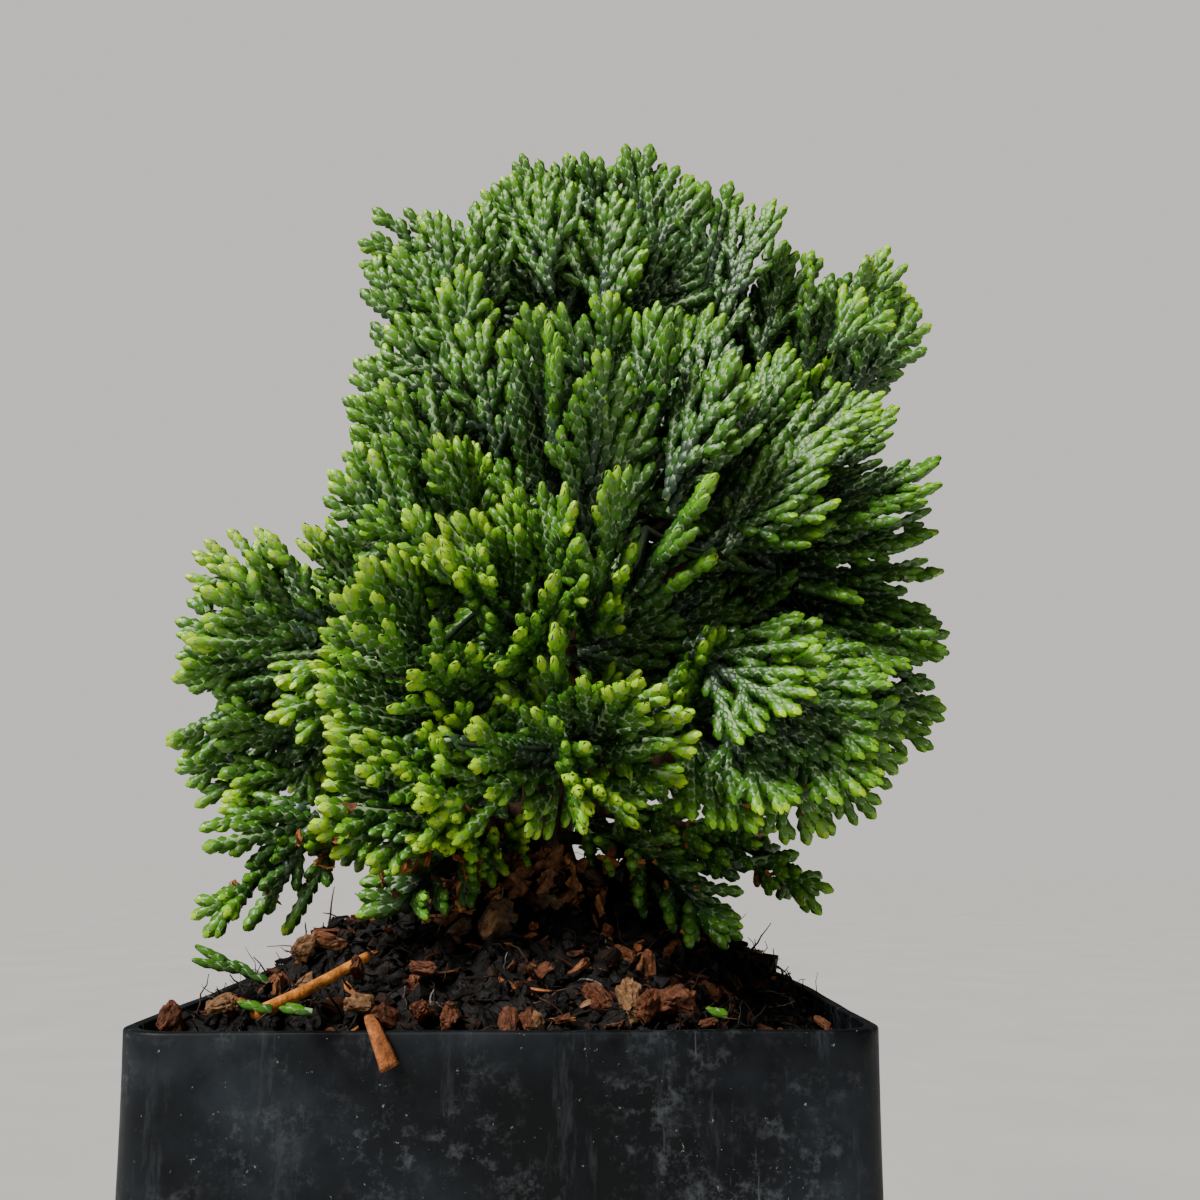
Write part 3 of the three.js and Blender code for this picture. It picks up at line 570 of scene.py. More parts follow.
def spread(count, start):
    """Directions spread evenly over a sphere."""
    i = np.arange(count)
    z = 1 - 2 * (i + 0.5) / count
    ring = np.sqrt(1 - z * z)
    turn = start + GOLDEN_TURN * i
    return np.column_stack([ring * np.cos(turn), ring * np.sin(turn), z])


def spray_frame(root, tip, roll, **traits):
    """A spray's own axes: ahead, across in its near upright plane, and the plane's normal."""
    ahead = unit(tip - root)
    across = UP - ahead * ahead[2]
    if np.linalg.norm(across) < NEAR_UPRIGHT:
        across = np.array([1.0, 0, 0]) - ahead * ahead[0]
    across = unit(across)
    across = across * math.cos(roll) + np.cross(ahead, across) * math.sin(roll)
    return SimpleNamespace(
        root=root, ahead=ahead, across=across, normal=np.cross(ahead, across),
        length=float(np.linalg.norm(tip - root)), **{**SPRAY, **traits},
    )


def flowing(mass, tip, draw, shade):
    """A fan that ends at a tip and points away from both its mass's core and the crown's focus,
    as long as the crown has room for."""
    radial = unit(tip - mass.core)
    way = radial * (1 - FLOW) + unit(tip - FOCUS) * FLOW + UP * mass.rise
    way[1] *= mass.press
    ahead = unit(way)
    wanted = between(draw, *FAN_LENGTH) * mass.long
    roll = ROLL_FIELD * noise.noise(tuple(tip / ROLL_SIZE)) * mass.loose - math.copysign(mass.lie, ahead[0])
    roll += between(draw, -SPRAY_ROLL, SPRAY_ROLL) / 2
    back = np.linspace(1.0, wanted, int(wanted))
    for _ in range(FAN_TURNS):
        outside = np.flatnonzero(crown_depth(depths(tip - ahead * back[:, None])) > OUTSIDE)
        length = back[outside[0]] if len(outside) else wanted
        if length > FAN_ROOM:
            break
        ahead = unit(ahead + radial)
    return spray_frame(tip - ahead * length, tip, roll, shade=shade)


def dense_sprays(mass, draw, count, forward, share, short, shade=0.0):
    """Fans with their tips spread over the mass's surface, as far as that isn't in another's."""
    sprays = []
    stretch = np.linspace(FURTHEST, LEAST_STRETCH, STRETCH_STEPS)
    for way in spread(count, draw() * 2 * math.pi):
        way = unit(way + mass.axis * forward)
        depth = depths(mass.centre + way * mass.reach * stretch[:, None])
        inside = np.flatnonzero(crown_depth(depth) <= 1)
        tip_share = between(draw, 1 - short, 1) * share
        others = np.delete(depth, mass.index, axis=0).min(axis=0)
        if len(inside) and others[inside[0]] >= BURIED:
            tip = mass.centre + way * mass.reach * stretch[inside[0]] * tip_share
            sprays.append(flowing(mass, tip, draw, shade))
    return sprays


def open_sprays(mass, draw):
    across = unit([-mass.axis[1], mass.axis[0], 0])
    sprays = []
    for along in OPEN_FORKS:
        root = mass.stem.at(along)
        for hand in (-1, 1):
            way = unit(mass.stem.tangent(along) + across * hand * between(draw, *OPEN_SPLAY))
            tip = root + way * mass.reach.min() * between(draw, *OPEN_LENGTH) * mass.long
            sprays.append(spray_frame(root, tip, between(draw, -SPRAY_ROLL, SPRAY_ROLL), free=True))
    return sprays


def bough_sprays(mass, draw):
    """Fans that hide an open mass's bare limb on its way out of the crown."""
    limb = mass.bough or mass.stem
    sprays = []
    for along in BOUGH_FORKS:
        root = limb.at(along)
        ahead = limb.tangent(along)
        across = np.array([-ahead[1], ahead[0], 0])
        for hand in (-1, 1):
            way = unit(ahead + across * hand * between(draw, *OPEN_SPLAY) - UP * BOUGH_DROP)
            tip = root + way * between(draw, *BOUGH_FAN)
            sprays.append(spray_frame(root, tip, between(draw, -SPRAY_ROLL, SPRAY_ROLL), free=True))
    return sprays


def mass_sprays(mass):
    """The solid's own sprays, by the same draws, then finer ones by the same rule, and those given
    one by one."""
    draw = random_from(SEED + mass.index)
    if mass.open:
        tip = mass.stem.at(1.0)
        end = tip + mass.stem.tangent(1.0) * mass.reach.min()
        sprays = open_sprays(mass, draw) + [spray_frame(tip, end, END_ROLL, free=True)]
        sprays += bough_sprays(mass, draw)
        if not mass.thin:
            sprays += open_sprays(mass, draw)
    else:
        for _ in range(CORE_CORNERS):
            draw()
        sprays = dense_sprays(mass, draw, SPRAYS, 0, 1, SPRAY_SHORT)
        sprays += dense_sprays(mass, draw, mass.sprays, FORWARD, FINE_REACH, FINE_SHORT)
        sprays += dense_sprays(mass, draw, INNER_SPRAYS, 0, INNER_REACH, FINE_SHORT, INNER_SHADE)
    for root, tip, *narrow in REACHING.get(mass.name, []):
        roll = between(draw, -REACHING_ROLL, REACHING_ROLL)
        spray = spray_frame(above_rim(root), above_rim(tip), roll, free=True, narrow=(*narrow, 1.0)[0])
        sprays.append(spray)
    return sprays


def trunk_sprays():
    """Fans all round the trunk, which fill the crown's inside."""
    draw = random_from(SEED - 1)
    sprays = []
    for i in range(int((TRUNK_FANS[1] - TRUNK_FANS[0]) / TRUNK_FAN_STEP)):
        height = RIM + TRUNK_FANS[0] + i * TRUNK_FAN_STEP
        root = trunk_curve.at(np.interp(height, trunk_places[:, 2], trunk_shares))
        turn = i * GOLDEN_TURN
        way = unit([math.cos(turn), math.sin(turn), between(draw, *TRUNK_FAN_RISE)])
        tip = root + way * between(draw, *TRUNK_FAN)
        roll = between(draw, -TRUNK_FAN_ROLL, TRUNK_FAN_ROLL)
        spray = spray_frame(root, tip, roll, shade=INNER_SHADE, on_trunk=True)
        nearest = depths(np.array([root + way * spray.length * 0.6]))[:, 0].argmin()
        sprays.append((masses[nearest], spray))
    return sprays


def columns(rows, names):
    """The named values of all rows, each as an array."""
    return {name: np.array([getattr(row, name) for row in rows]) for name in names}


class Shoots:
    """Shoots as arcs in the planes of their fans: where each starts, its turn and its length."""

    def __init__(self, fans, rows):
        self.fans = fans
        self.rows = rows
        self.start = np.array([(row.x, row.y) for row in rows])
        vars(self).update(columns(rows, ("fan", "angle", "bend", "lean", "length", "size", "hue", "dead")))

    def local(self, which, s):
        """Place in the fan's plane, and the direction there, at a distance along each shoot."""
        bend = np.where(np.abs(self.bend[which]) < STRAIGHT, STRAIGHT, self.bend[which])
        turned = self.angle[which] + bend * s
        x = self.start[which, 0] + (np.sin(turned) - np.sin(self.angle[which])) / bend
        y = self.start[which, 1] + (np.cos(self.angle[which]) - np.cos(turned)) / bend
        return x, y, turned

    def frames(self, which, s):
        """Points on shoots, and there the tangent, the side and the face direction."""
        x, y, turned = self.local(which, s)
        fans = self.fans
        fan = self.fan[which]
        out = self.lean[which] * s + fans.cup[fan] * y * y
        rise = fans.upturn[fan] * x * x
        points = fans.root[fan] + fans.ahead[fan] * x[:, None] + fans.across[fan] * y[:, None]
        points = points + fans.normal[fan] * out[:, None] + UP * rise[:, None]
        along_x = np.cos(turned)
        along_y = np.sin(turned)
        slope = self.lean[which] + 2 * fans.cup[fan] * y * along_y
        tangent = fans.ahead[fan] * along_x[:, None] + fans.across[fan] * along_y[:, None]
        tangent = tangent + fans.normal[fan] * slope[:, None]
        tangent = unit(tangent + UP * (2 * fans.upturn[fan] * x * along_x)[:, None])
        face = fans.normal[fan] - tangent * np.sum(fans.normal[fan] * tangent, axis=1)[:, None]
        face = unit(face)
        return points, tangent, np.cross(face, tangent), face

    def places(self, share):
        """The points at a share of each shoot's length."""
        return self.frames(np.arange(len(self.length)), self.length * share)[0]

    def clip(self):
        """Ends each shoot where it would leave its own space, and drops those left too short."""
        clear = self.length.copy()
        which = np.arange(len(clear))
        for step in range(int(math.ceil(self.length.max() / SAMPLE)) + 1, -1, -1):
            s = np.minimum(step * SAMPLE, self.length)
            points = self.frames(which, s)[0]
            depth = depths(points)
            own = depth[self.fans.mass[self.fan], which]
            blocked = (crown_depth(depth) > REACH_MOST) | (depth.min(axis=0) < own - OVERLAP)
            blocked &= ~self.fans.free[self.fan]
            blocked |= points[:, 2] < soil_height(points[:, 0], points[:, 1]) + OVER_SOIL
            blocked |= points[:, 2] < self.fans.least[self.fan]
            blocked |= ((points < CROWN_BOX[0]) | (points > CROWN_BOX[1])).any(axis=1)
            for place, radius in NOTCHES:
                blocked |= np.linalg.norm(points - place - UP * RIM, axis=1) < radius
            clear = np.where(blocked, np.minimum(clear, s - SAMPLE), clear)
        rows = []
        for row, length in zip(self.rows, clear):
            if length >= LEAST_SHOOT:
                row.length = length
                rows.append(row)
        return rows


def shoot(fan, x, y, angle, turn, length, rng, lean=0.0, size=1.0, dead=0.0):
    """A shoot from a place in its fan's plane that turns by an angle over its length."""
    return SimpleNamespace(
        fan=fan, x=x, y=y, angle=angle, bend=turn / length, length=length, lean=lean,
        size=size * rng.uniform(*THICKNESS), hue=rng.normal(0, HUES[1]), dead=rng.random() < dead,
    )


def fan_table(sprays):
    """The sprays of all the masses as arrays, with their fans' own cup and upturn."""
    rng = np.random.default_rng(SEED)
    count = len(sprays)
    names = ("root", "ahead", "across", "normal", "length", "free", "on_trunk", "narrow")
    table = SimpleNamespace(**columns([spray for _, spray in sprays], names))
    vars(table).update(columns([mass for mass, _ in sprays], ("open", "node", "least")))
    table.mass = np.array([mass.index for mass, _ in sprays])
    table.shade = np.array([mass.shade + spray.shade for mass, spray in sprays])
    table.shade = table.shade + rng.normal(0, HUES[0], count)
    table.cup = rng.uniform(-CUP, CUP, count)
    table.upturn = rng.uniform(0, UPTURN, count)
    table.hand = rng.choice([-1, 1], count)
    return table


def branch(parents, fans, rng, node, splay, opening, lengths, most, first, dead=False):
    """Shoots that leave others in their fans' planes, on alternate sides."""
    shoots = Shoots(fans, parents)
    rows = []
    for index, row in enumerate(parents):
        place = first
        side = fans.hand[row.fan] * (-1 if index % 2 else 1)
        share_dead = (DEAD_LOW if fans.open[row.fan] else DEAD) if dead else 0
        while place < row.length - LEAST_SHOOT * LEFT_OVER:
            x, y, turned = (value[0] for value in shoots.local(np.array([index]), np.array([place])))
            share = place / row.length
            room = (row.length - place) * rng.uniform(*lengths)
            length = min(room, most * rng.uniform(*MOST_SPREAD))
            length *= fans.narrow[row.fan]
            if length > LEAST_SHOOT:
                start = rng.uniform(*splay)
                end = opening[1] + (opening[0] - opening[1]) * share
                turn = side * (end - start)
                lean = rng.uniform(-OUT_OF_PLANE, OUT_OF_PLANE)
                angle = turned + side * start
                rows.append(shoot(row.fan, x, y, angle, turn, length, rng, lean, dead=share_dead))
            place += node * fans.node[row.fan] * rng.uniform(*NODE_SPREAD)
            side = -side
    return Shoots(fans, rows).clip()


def grow_shoots(fans):
    """Every fan's axis, the shoots along it, and the twigs on those, each cut to its room."""
    rng = np.random.default_rng(SEED + 1)
    axes = []
    for fan, length in enumerate(fans.length):
        if length > FAN_LEAST:
            turn = rng.uniform(-AXIS_TURN, AXIS_TURN)
            axes.append(shoot(fan, 0.0, 0.0, 0.0, turn, length, rng, size=AXIS_SIZE))
    axes = [row for row in Shoots(fans, axes).clip() if row.length > FAN_LEAST * LEFT_OVER]
    sides = branch(axes, fans, rng, **SHOOTS)
    return Shoots(fans, axes + sides + branch(sides, fans, rng, **TWIGS))


def dome(s, length):
    """The radius at a distance along a shoot, which swells a little and closes at its tip."""
    past = np.clip((s - (length - DOME)) / DOME, 0, 1)
    swell = 1 + TIP_SWELL * np.clip(1 - (length - s) / SWELL_LENGTH, 0, 1)
    return swell * np.sqrt(np.maximum(1 - past**DOME_POWER, 0.0))


def around(middle, theta, radius, side, face):
    """Corners round a shoot's middle, at angles round it."""
    wide = (np.cos(theta) * radius * HALF_WIDTH)[:, :, None] * side[:, None, :]
    thick = (np.sin(theta) * radius * HALF_THICKNESS)[:, :, None] * face[:, None, :]
    return middle + wide + thick


def scales(shoots):
    """All the scales: their corners, and for each one which tint it has."""
    counts = np.ceil((shoots.length - LAST_SCALE) / (PITCH / 2)).astype(int)
    which = np.repeat(np.arange(len(counts)), counts)
    order = np.arange(len(which)) - np.repeat(np.cumsum(counts) - counts, counts)
    length = shoots.length[which]
    s = length - LAST_SCALE - order * (PITCH / 2)
    points, tangent, side, face = shoots.frames(which, s)
    youth = np.clip(1 - order / YOUNG_SCALES, 0, 1)
    young = 1 + YOUNG_OVERLAP * youth
    out = 1 + (SCALE[None, :, 2] - 1) * (1 - YOUNG_FLAT * youth)[:, None]
    at = np.clip(s[:, None] + SCALE[None, :, 0] * PITCH / 2 * young[:, None], 0, length[:, None])
    radius = out * dome(at, length[:, None]) * shoots.size[which][:, None]
    moved = points[:, None, :] + (at - s[:, None])[:, :, None] * tangent[:, None, :]
    depth = crown_depth(depths(points))
    seen = depth > UNSEEN
    corners = []
    for half in (0, 1):
        middle = np.where(order % 2 == 0, math.pi / 2, 0.0) + math.pi * half
        theta = middle[:, None] + SCALE[None, :, 1] * math.pi / 2 * young[:, None]
        corners.append(around(moved, theta, radius, side, face)[seen])
    fan = shoots.fan[which]
    tip_x, tip_y, _ = shoots.local(which, length)
    # the tint follows age from the tip, the painted shade of the mass and fan, a random hue, painted shade
    # deeper in the crown and older growth at a fan's foot
    age_and_shade = order / 2 + FIRST_AGE + shoots.fans.shade[fan] + shoots.hue[which]
    age_and_shade = age_and_shade + np.clip(OUTER_LEAVES - depth, 0, 1) * BURIED_AGE
    age_and_shade = age_and_shade + np.clip(1 - np.hypot(tip_x, tip_y) / shoots.fans.length[fan], 0, 1) * INNER_AGE
    tint = np.searchsorted(TINT_ENDS, age_and_shade)
    rng = np.random.default_rng(SEED + 3)
    dark_tint, blue_tint, dead_tint = (list(TINTS).index(name) for name in ("dark", "blue", "dead"))
    blue = (tint == dark_tint) & (rng.random(len(shoots.length))[which] < BLUE)
    feet = crown_depth(depths(shoots.places(0)))
    dead = shoots.dead & ((feet < DEAD_DEPTH) | shoots.fans.open[shoots.fan])
    dead &= shoots.fans.root[shoots.fan][:, 2] < RIM + DEAD_BELOW
    tint = np.where(dead[which], dead_tint, np.where(blue, blue_tint, tint))[seen]
    return np.concatenate(corners), np.concatenate([tint, tint])


def skin(rings, sides, caps=2):
    """Faces round rings of corners that follow each other. Two more corners after them close the
    first ring and the last, or one only the last."""
    i = np.arange(sides)
    j = (i + 1) % sides
    faces = []
    for ring in range(0, (rings - 1) * sides, sides):
        faces.append(np.column_stack([ring + i, ring + j, ring + j + sides]))
        faces.append(np.column_stack([ring + i, ring + j + sides, ring + i + sides]))
    last = (rings - 1) * sides
    if caps == 2:
        faces.append(np.column_stack([i * 0 + last + sides, j, i]))
    if caps:
        faces.append(np.column_stack([last + i, last + j, i * 0 + last + sides + caps - 1]))
    return np.vstack(faces)


def cores(shoots):
    """The pale shoots under the scales, as tubes closed at their tips that show as lines between them."""
    count = len(shoots.length)
    theta = np.arange(CORE_SIDES) * 2 * math.pi / CORE_SIDES
    straight = shoots.length - DOME
    rings = []
    for s in (straight * 0, straight * 0.5, shoots.length - DOME * CORE_SHOULDER):
        points, _, side, face = shoots.frames(np.arange(count), s)
        narrowed = np.clip(CORE_FOOT[0] + CORE_FOOT[1] * s, 0, 1)
        radius = dome(s, shoots.length) * shoots.size * CORE_OUT * narrowed
        rings.append(around(points[:, None, :], theta[None, :], radius[:, None], side, face))
    tips = shoots.frames(np.arange(count), shoots.length - CORE_END)[0]
    corners = np.concatenate([np.stack(rings, axis=1).reshape(count, -1, 3), tips[:, None, :]], axis=1)
    return corners, skin(len(rings), CORE_SIDES, 1)


def joined(corners, faces):
    """Many like forms as one list of corners and one of faces."""
    count, size, _ = corners.shape
    offsets = (np.arange(count) * size)[:, None, None]
    return corners.reshape(-1, 3), (faces[None, :, :] + offsets).reshape(-1, faces.shape[1])


def merged(forms):
    """Several lists of corners and faces as one."""
    offsets = np.cumsum([0] + [len(corners) for corners, _ in forms])
    faces = [form_faces + offset for (_, form_faces), offset in zip(forms, offsets)]
    return np.vstack([corners for corners, _ in forms]), np.vstack(faces)


def piece(name, corners, faces, material, slot, smooth=True):
    """A mesh object from corners in millimetres and faces of one size, riding on the body."""
    mesh = bpy.data.meshes.new(name)
    corners = np.ascontiguousarray(corners, np.float32) * MM
    faces = np.ascontiguousarray(faces, np.int32)
    mesh.vertices.add(len(corners))
    mesh.vertices.foreach_set("co", corners.ravel())
    mesh.loops.add(faces.size)
    mesh.loops.foreach_set("vertex_index", faces.ravel())
    mesh.polygons.add(len(faces))
    mesh.polygons.foreach_set("loop_start", np.arange(0, faces.size, faces.shape[1], dtype=np.int32))
    mesh.polygons.foreach_set("use_smooth", np.full(len(faces), smooth))
    mesh.update(calc_edges=True)
    mesh.validate()
    mesh.materials.append(material)
    made = bpy.data.objects.new(name, mesh)
    bpy.context.scene.collection.objects.link(made)
    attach(made, BODY)
    return made


def tube(curve, radius_at, sides, steps):
    """A closed limb along a curve. radius_at takes the shares along it and the angles round it."""
    share = np.linspace(0, 1, steps + 1)
    points = curve.at(share)
    tangent = unit(np.gradient(points, axis=0))
    side = np.empty_like(points)
    last = np.cross(tangent[0], [0.3, 1.0, 0.2])
    for i in range(len(points)):
        last = last - tangent[i] * np.dot(last, tangent[i])
        last = last / np.linalg.norm(last)
        side[i] = last
    other = np.cross(tangent, side)
    theta = np.arange(sides) * 2 * math.pi / sides
    radius = radius_at(share[:, None], theta[None, :]) * np.ones((steps + 1, sides))
    ring = points[:, None, :] + (np.cos(theta) * radius)[:, :, None] * side[:, None, :]
    ring = ring + (np.sin(theta) * radius)[:, :, None] * other[:, None, :]
    return np.vstack([ring.reshape(-1, 3), points[0], points[-1]]), skin(steps + 1, sides)


def rough(points, size, seed):
    """Noise from -1 to 1 at points, with features of a size in millimetres."""
    shift = np.array([seed * 7.1, seed * 3.7, seed * 5.3])
    return np.array([noise.fractal(tuple(point / size + shift), 1.0, 2.0, OCTAVES) for point in points])


def placed(name, data, right, up, back, at):
    """A camera or lamp by its own axes and its place in metres."""
    made = bpy.data.objects.new(name, data)
    turn = np.eye(4)
    turn[:3] = np.column_stack([right, up, back, at])
    made.matrix_world = Matrix(turn.tolist())
    bpy.context.scene.collection.objects.link(made)
    return made


def camera():
    pitch, yaw, roll = (math.radians(value) for value in CAMERA_TURNS)
    ahead = np.array([math.sin(yaw) * math.cos(pitch), math.cos(yaw) * math.cos(pitch), math.sin(pitch)])
    right = np.array([math.cos(yaw), -math.sin(yaw), 0.0])
    up = np.cross(right, ahead)
    across = math.cos(roll) * right + math.sin(roll) * up
    upright = -math.sin(roll) * right + math.cos(roll) * up
    data = bpy.data.cameras.new("camera")
    data.sensor_width = SENSOR
    data.lens = CAMERA_LENS
    data.clip_start, data.clip_end = CLIP
    bpy.context.scene.camera = placed("camera", data, across, upright, -ahead, np.array(CAMERA_AT) * MM)


def studio():
    for name, (kind, at, target, power, colour, form) in LAMPS.items():
        data = bpy.data.lights.new(name, kind)
        data.energy = power
        data.color = colour
        for trait, value in form.items():
            setattr(data, trait, value)
        back = unit(np.array(at) - np.array(target))
        right = unit(np.cross(UP, back))
        placed(name, data, right, np.cross(back, right), back, at)
    world = bpy.data.worlds.new("studio")
    world.use_nodes = True
    nodes = world.node_tree.nodes
    links = world.node_tree.links
    sky = nodes["Background"]
    sky.inputs["Color"].default_value = (*BACKDROP, 1)
    seen = nodes.new("ShaderNodeLightPath").outputs["Is Camera Ray"]
    strength = nodes.new("ShaderNodeMapRange")
    strength.inputs["To Min"].default_value = AMBIENT
    strength.inputs["To Max"].default_value = 1.0
    links.new(seen, strength.inputs["Value"])
    links.new(strength.outputs["Result"], sky.inputs["Strength"])
    bpy.context.scene.world = world


class Finish:
    """A Principled material being put together from nodes."""

    def __init__(self, name, colour, roughness, specular):
        self.material = bpy.data.materials.new(name)
        self.material.use_nodes = True
        self.nodes = self.material.node_tree.nodes
        self.links = self.material.node_tree.links
        self.shader = self.nodes["Principled BSDF"].inputs
        self.shader["Base Color"].default_value = (*colour, 1)
        self.shader["Roughness"].default_value = roughness
        self.shader["Specular IOR Level"].default_value = specular
        self.place = self.nodes.new("ShaderNodeTexCoord").outputs["Object"]

    def noise(self, size, detail=4.0, roughness=0.55, stretch=None):
        """Noise with features of a size in millimetres, drawn out along an axis by stretch."""
        node = self.nodes.new("ShaderNodeTexNoise")
        node.inputs["Scale"].default_value = 1 / (size * MM)
        node.inputs["Detail"].default_value = detail
        node.inputs["Roughness"].default_value = roughness
        place = self.place
        if stretch:
            mapping = self.nodes.new("ShaderNodeMapping")
            mapping.inputs["Scale"].default_value = stretch
            self.links.new(place, mapping.inputs["Vector"])
            place = mapping.outputs["Vector"]
        self.links.new(place, node.inputs["Vector"])
        return node.outputs["Fac"]

    def ramp(self, value, stops):
        """A value turned to colours: stops are places with colours or greys."""
        node = self.nodes.new("ShaderNodeValToRGB")
        ramp = node.color_ramp
        while len(ramp.elements) < len(stops):
            ramp.elements.new(0.5)
        for element, (place, colour) in zip(ramp.elements, stops):
            element.position = place
            element.color = (*colour, 1) if isinstance(colour, tuple) else (colour, colour, colour, 1)
        self.links.new(value, node.inputs["Fac"])
        return node.outputs["Color"]

    def coat(self, under, colour, share):
        """A colour laid over another by a share."""
        node = self.nodes.new("ShaderNodeMix")
        node.data_type = "RGBA"
        self.links.new(share, node.inputs["Factor"])
        self.links.new(under, node.inputs[6])
        node.inputs[7].default_value = (*colour, 1)
        return node.outputs[2]

    def product(self, first, second):
        node = self.nodes.new("ShaderNodeMath")
        node.operation = "MULTIPLY"
        self.links.new(first, node.inputs[0])
        self.links.new(second, node.inputs[1])
        return node.outputs[0]

    def bump(self, value, height, strength=1.0):
        """Relief of a height in millimetres."""
        node = self.nodes.new("ShaderNodeBump")
        node.inputs["Strength"].default_value = strength
        node.inputs["Distance"].default_value = height * MM
        self.links.new(value, node.inputs["Height"])
        self.links.new(node.outputs["Normal"], self.shader["Normal"])


def tinted(colour, factor):
    return tuple(min(value * factor, 1.0) for value in colour)


def grained(name, colour, roughness, specular, grain, stops, relief=None, strength=1.0):
    """A material whose colour follows noise: its size, detail and the rest, and the stops' places
    with a factor on the colour or with colours. Relief is its height, or its own noise and height."""
    finish = Finish(name, colour, roughness, specular)
    value = finish.noise(**grain)
    stops = [(at, tone if isinstance(tone, tuple) else tinted(colour, tone)) for at, tone in stops]
    finish.links.new(finish.ramp(value, stops), finish.shader["Base Color"])
    if isinstance(relief, tuple):
        finish.bump(finish.noise(relief[0], detail=2), relief[1], strength)
    elif relief:
        finish.bump(value, relief, strength)
    return finish.material


def leaf_finish(name, colour):
    return grained("leaf_" + name, colour, 0.4, 0.45, dict(size=0.9, detail=2), [(0.3, 0.78), (0.7, 1.22)],
                   (0.35, 0.05), 0.5)


def soil_finish(name, colour, size, roughness=0.85):
    return grained(name, colour, roughness, 0.2, dict(size=size, detail=6, roughness=0.7),
                   [(0.32, 0.3), (0.52, colour), (0.72, 2.2)], size * 0.35)


def bark_finish():
    return grained("bark", (0.09, 0.045, 0.025), 0.85, 0.2, dict(size=1.1, detail=5, stretch=(1, 1, 0.3)), [
        (0.3, (0.015, 0.009, 0.006)), (0.5, (0.05, 0.026, 0.015)), (0.68, (0.12, 0.065, 0.035)),
    ], 0.35)


def plastic_finish():
    """Black plastic with water stains, mottled patches, runs, scratches, blots and specks."""
    finish = Finish("pot_plastic", (0.004, 0.006, 0.009), roughness=0.5, specular=0.2)

    def marks(stops, size, detail, **traits):
        return finish.ramp(finish.noise(size, detail, **traits), stops)

    stain = finish.noise(14, detail=8, roughness=0.6)
    colour = finish.ramp(stain, [
        (0.4, (0.001, 0.0016, 0.0024)), (0.52, (0.0045, 0.0065, 0.009)), (0.64, (0.012, 0.016, 0.021)),
    ])
    patches = marks([(0.45, 0.0), (0.6, 1.0)], 8, 3)
    mottle = marks([(0.5, 0.0), (0.62, 0.5), (0.75, 1.0)], 1.3, 8, roughness=0.75)
    runs = marks([(0.56, 0.0), (0.66, 0.35), (0.8, 0.8)], 2.2, 7, roughness=0.75, stretch=(1, 1, 0.16))
    scratches = marks([(0.7, 0.0), (0.74, 0.7)], 0.55, 2, stretch=(1, 1, 0.1))
    blots = marks([(0.68, 0.0), (0.72, 0.55), (0.82, 0.9)], 3.4, 9, roughness=0.8)
    specks = marks([(0.68, 0.0), (0.73, 1.0)], 0.7, 3, roughness=0.8)
    for tone, share in (
        ((0.06, 0.067, 0.072), finish.product(patches, mottle)), ((0.04, 0.045, 0.05), runs),
        ((0.06, 0.065, 0.07), finish.product(scratches, patches)), ((0.11, 0.113, 0.108), blots),
        ((0.15, 0.15, 0.135), specks),
    ):
        colour = finish.coat(colour, tone, share)
    finish.links.new(colour, finish.shader["Base Color"])
    finish.links.new(finish.ramp(stain, [(0.3, 0.25), (0.5, 0.5), (0.7, 0.7)]), finish.shader["Roughness"])
    finish.bump(finish.noise(2.5, detail=6, roughness=0.7), 0.05, 0.6)
    return finish.material


def floor():
    theta = np.linspace(0, 2 * math.pi, FLOOR_SIDES, endpoint=False)
    edge = np.column_stack([np.cos(theta), np.sin(theta), theta * 0]) * FLOOR_RADIUS
    mesh = bpy.data.meshes.new("floor")
    mesh.from_pydata(edge.tolist(), [], [tuple(range(FLOOR_SIDES))])
    finish = grained("floor", (0.46, 0.45, 0.44), 0.9, 0.1, dict(size=60, detail=3), FLOOR_TONES)
    mesh.materials.append(finish)
    made = bpy.data.objects.new("floor", mesh)
    bpy.context.scene.collection.objects.link(made)


def wall_half(height):
    """Half the pot's outer width at a height."""
    foot = RIM - COLLAR_DEPTH
    if height >= foot:
        return POT_WIDTH / 2 - COLLAR_TAPER * (RIM - height)
    collar_foot = POT_WIDTH / 2 - COLLAR_TAPER * COLLAR_DEPTH - COLLAR_STEP
    return FOOT_WIDTH / 2 + (collar_foot - FOOT_WIDTH / 2) * height / foot


def square_ring(half):
    """Points round a square with rounded corners, as many on every ring."""
    corner = half * CORNER_SHARE
    flat = half - corner
    points = []
    for turn in np.arange(4) * math.pi / 2:
        points += [(half, y, turn) for y in np.linspace(-flat, flat, POT_SIDE_STEPS + 1)[:-1]]
        for angle in np.linspace(0, math.pi / 2, POT_CORNER_STEPS + 1)[:-1]:
            points.append((flat + corner * math.cos(angle), flat + corner * math.sin(angle), turn))
    x, y, turn = np.array(points).T
    return np.column_stack([x * np.cos(turn) - y * np.sin(turn), x * np.sin(turn) + y * np.cos(turn)])


def pot_profile():
    """Half widths and heights up the outside, over the rolled rim and down the inside."""
    lip = RIM - EDGE
    half = wall_half(RIM)
    foot = RIM - COLLAR_DEPTH
    outer = [(FOOT_WIDTH / 2 - EDGE, 0), (FOOT_WIDTH / 2, EDGE)] + [(wall_half(z), z) for z in BODY_RINGS]
    outer += [(wall_half(foot - 0.01), foot), (wall_half(foot) - 0.1, foot + 0.35)]
    outer += [(wall_half(z), z) for z in (foot + 0.9, *COLLAR_RINGS, lip)]
    rim = [(half - EDGE * 0.3, RIM - EDGE * 0.3), (half - EDGE, RIM)]
    rim += [(half - WALL + EDGE, RIM), (half - WALL + EDGE * 0.3, RIM - EDGE * 0.3)]
    inner = [(wall_half(z) - WALL, z) for z in (lip, *COLLAR_RINGS[::-1], foot + 0.6)]
    return outer + rim + inner + [(wall_half(foot - 0.01) - WALL, foot), (FOOT_WIDTH / 2 - WALL, FLOOR)]


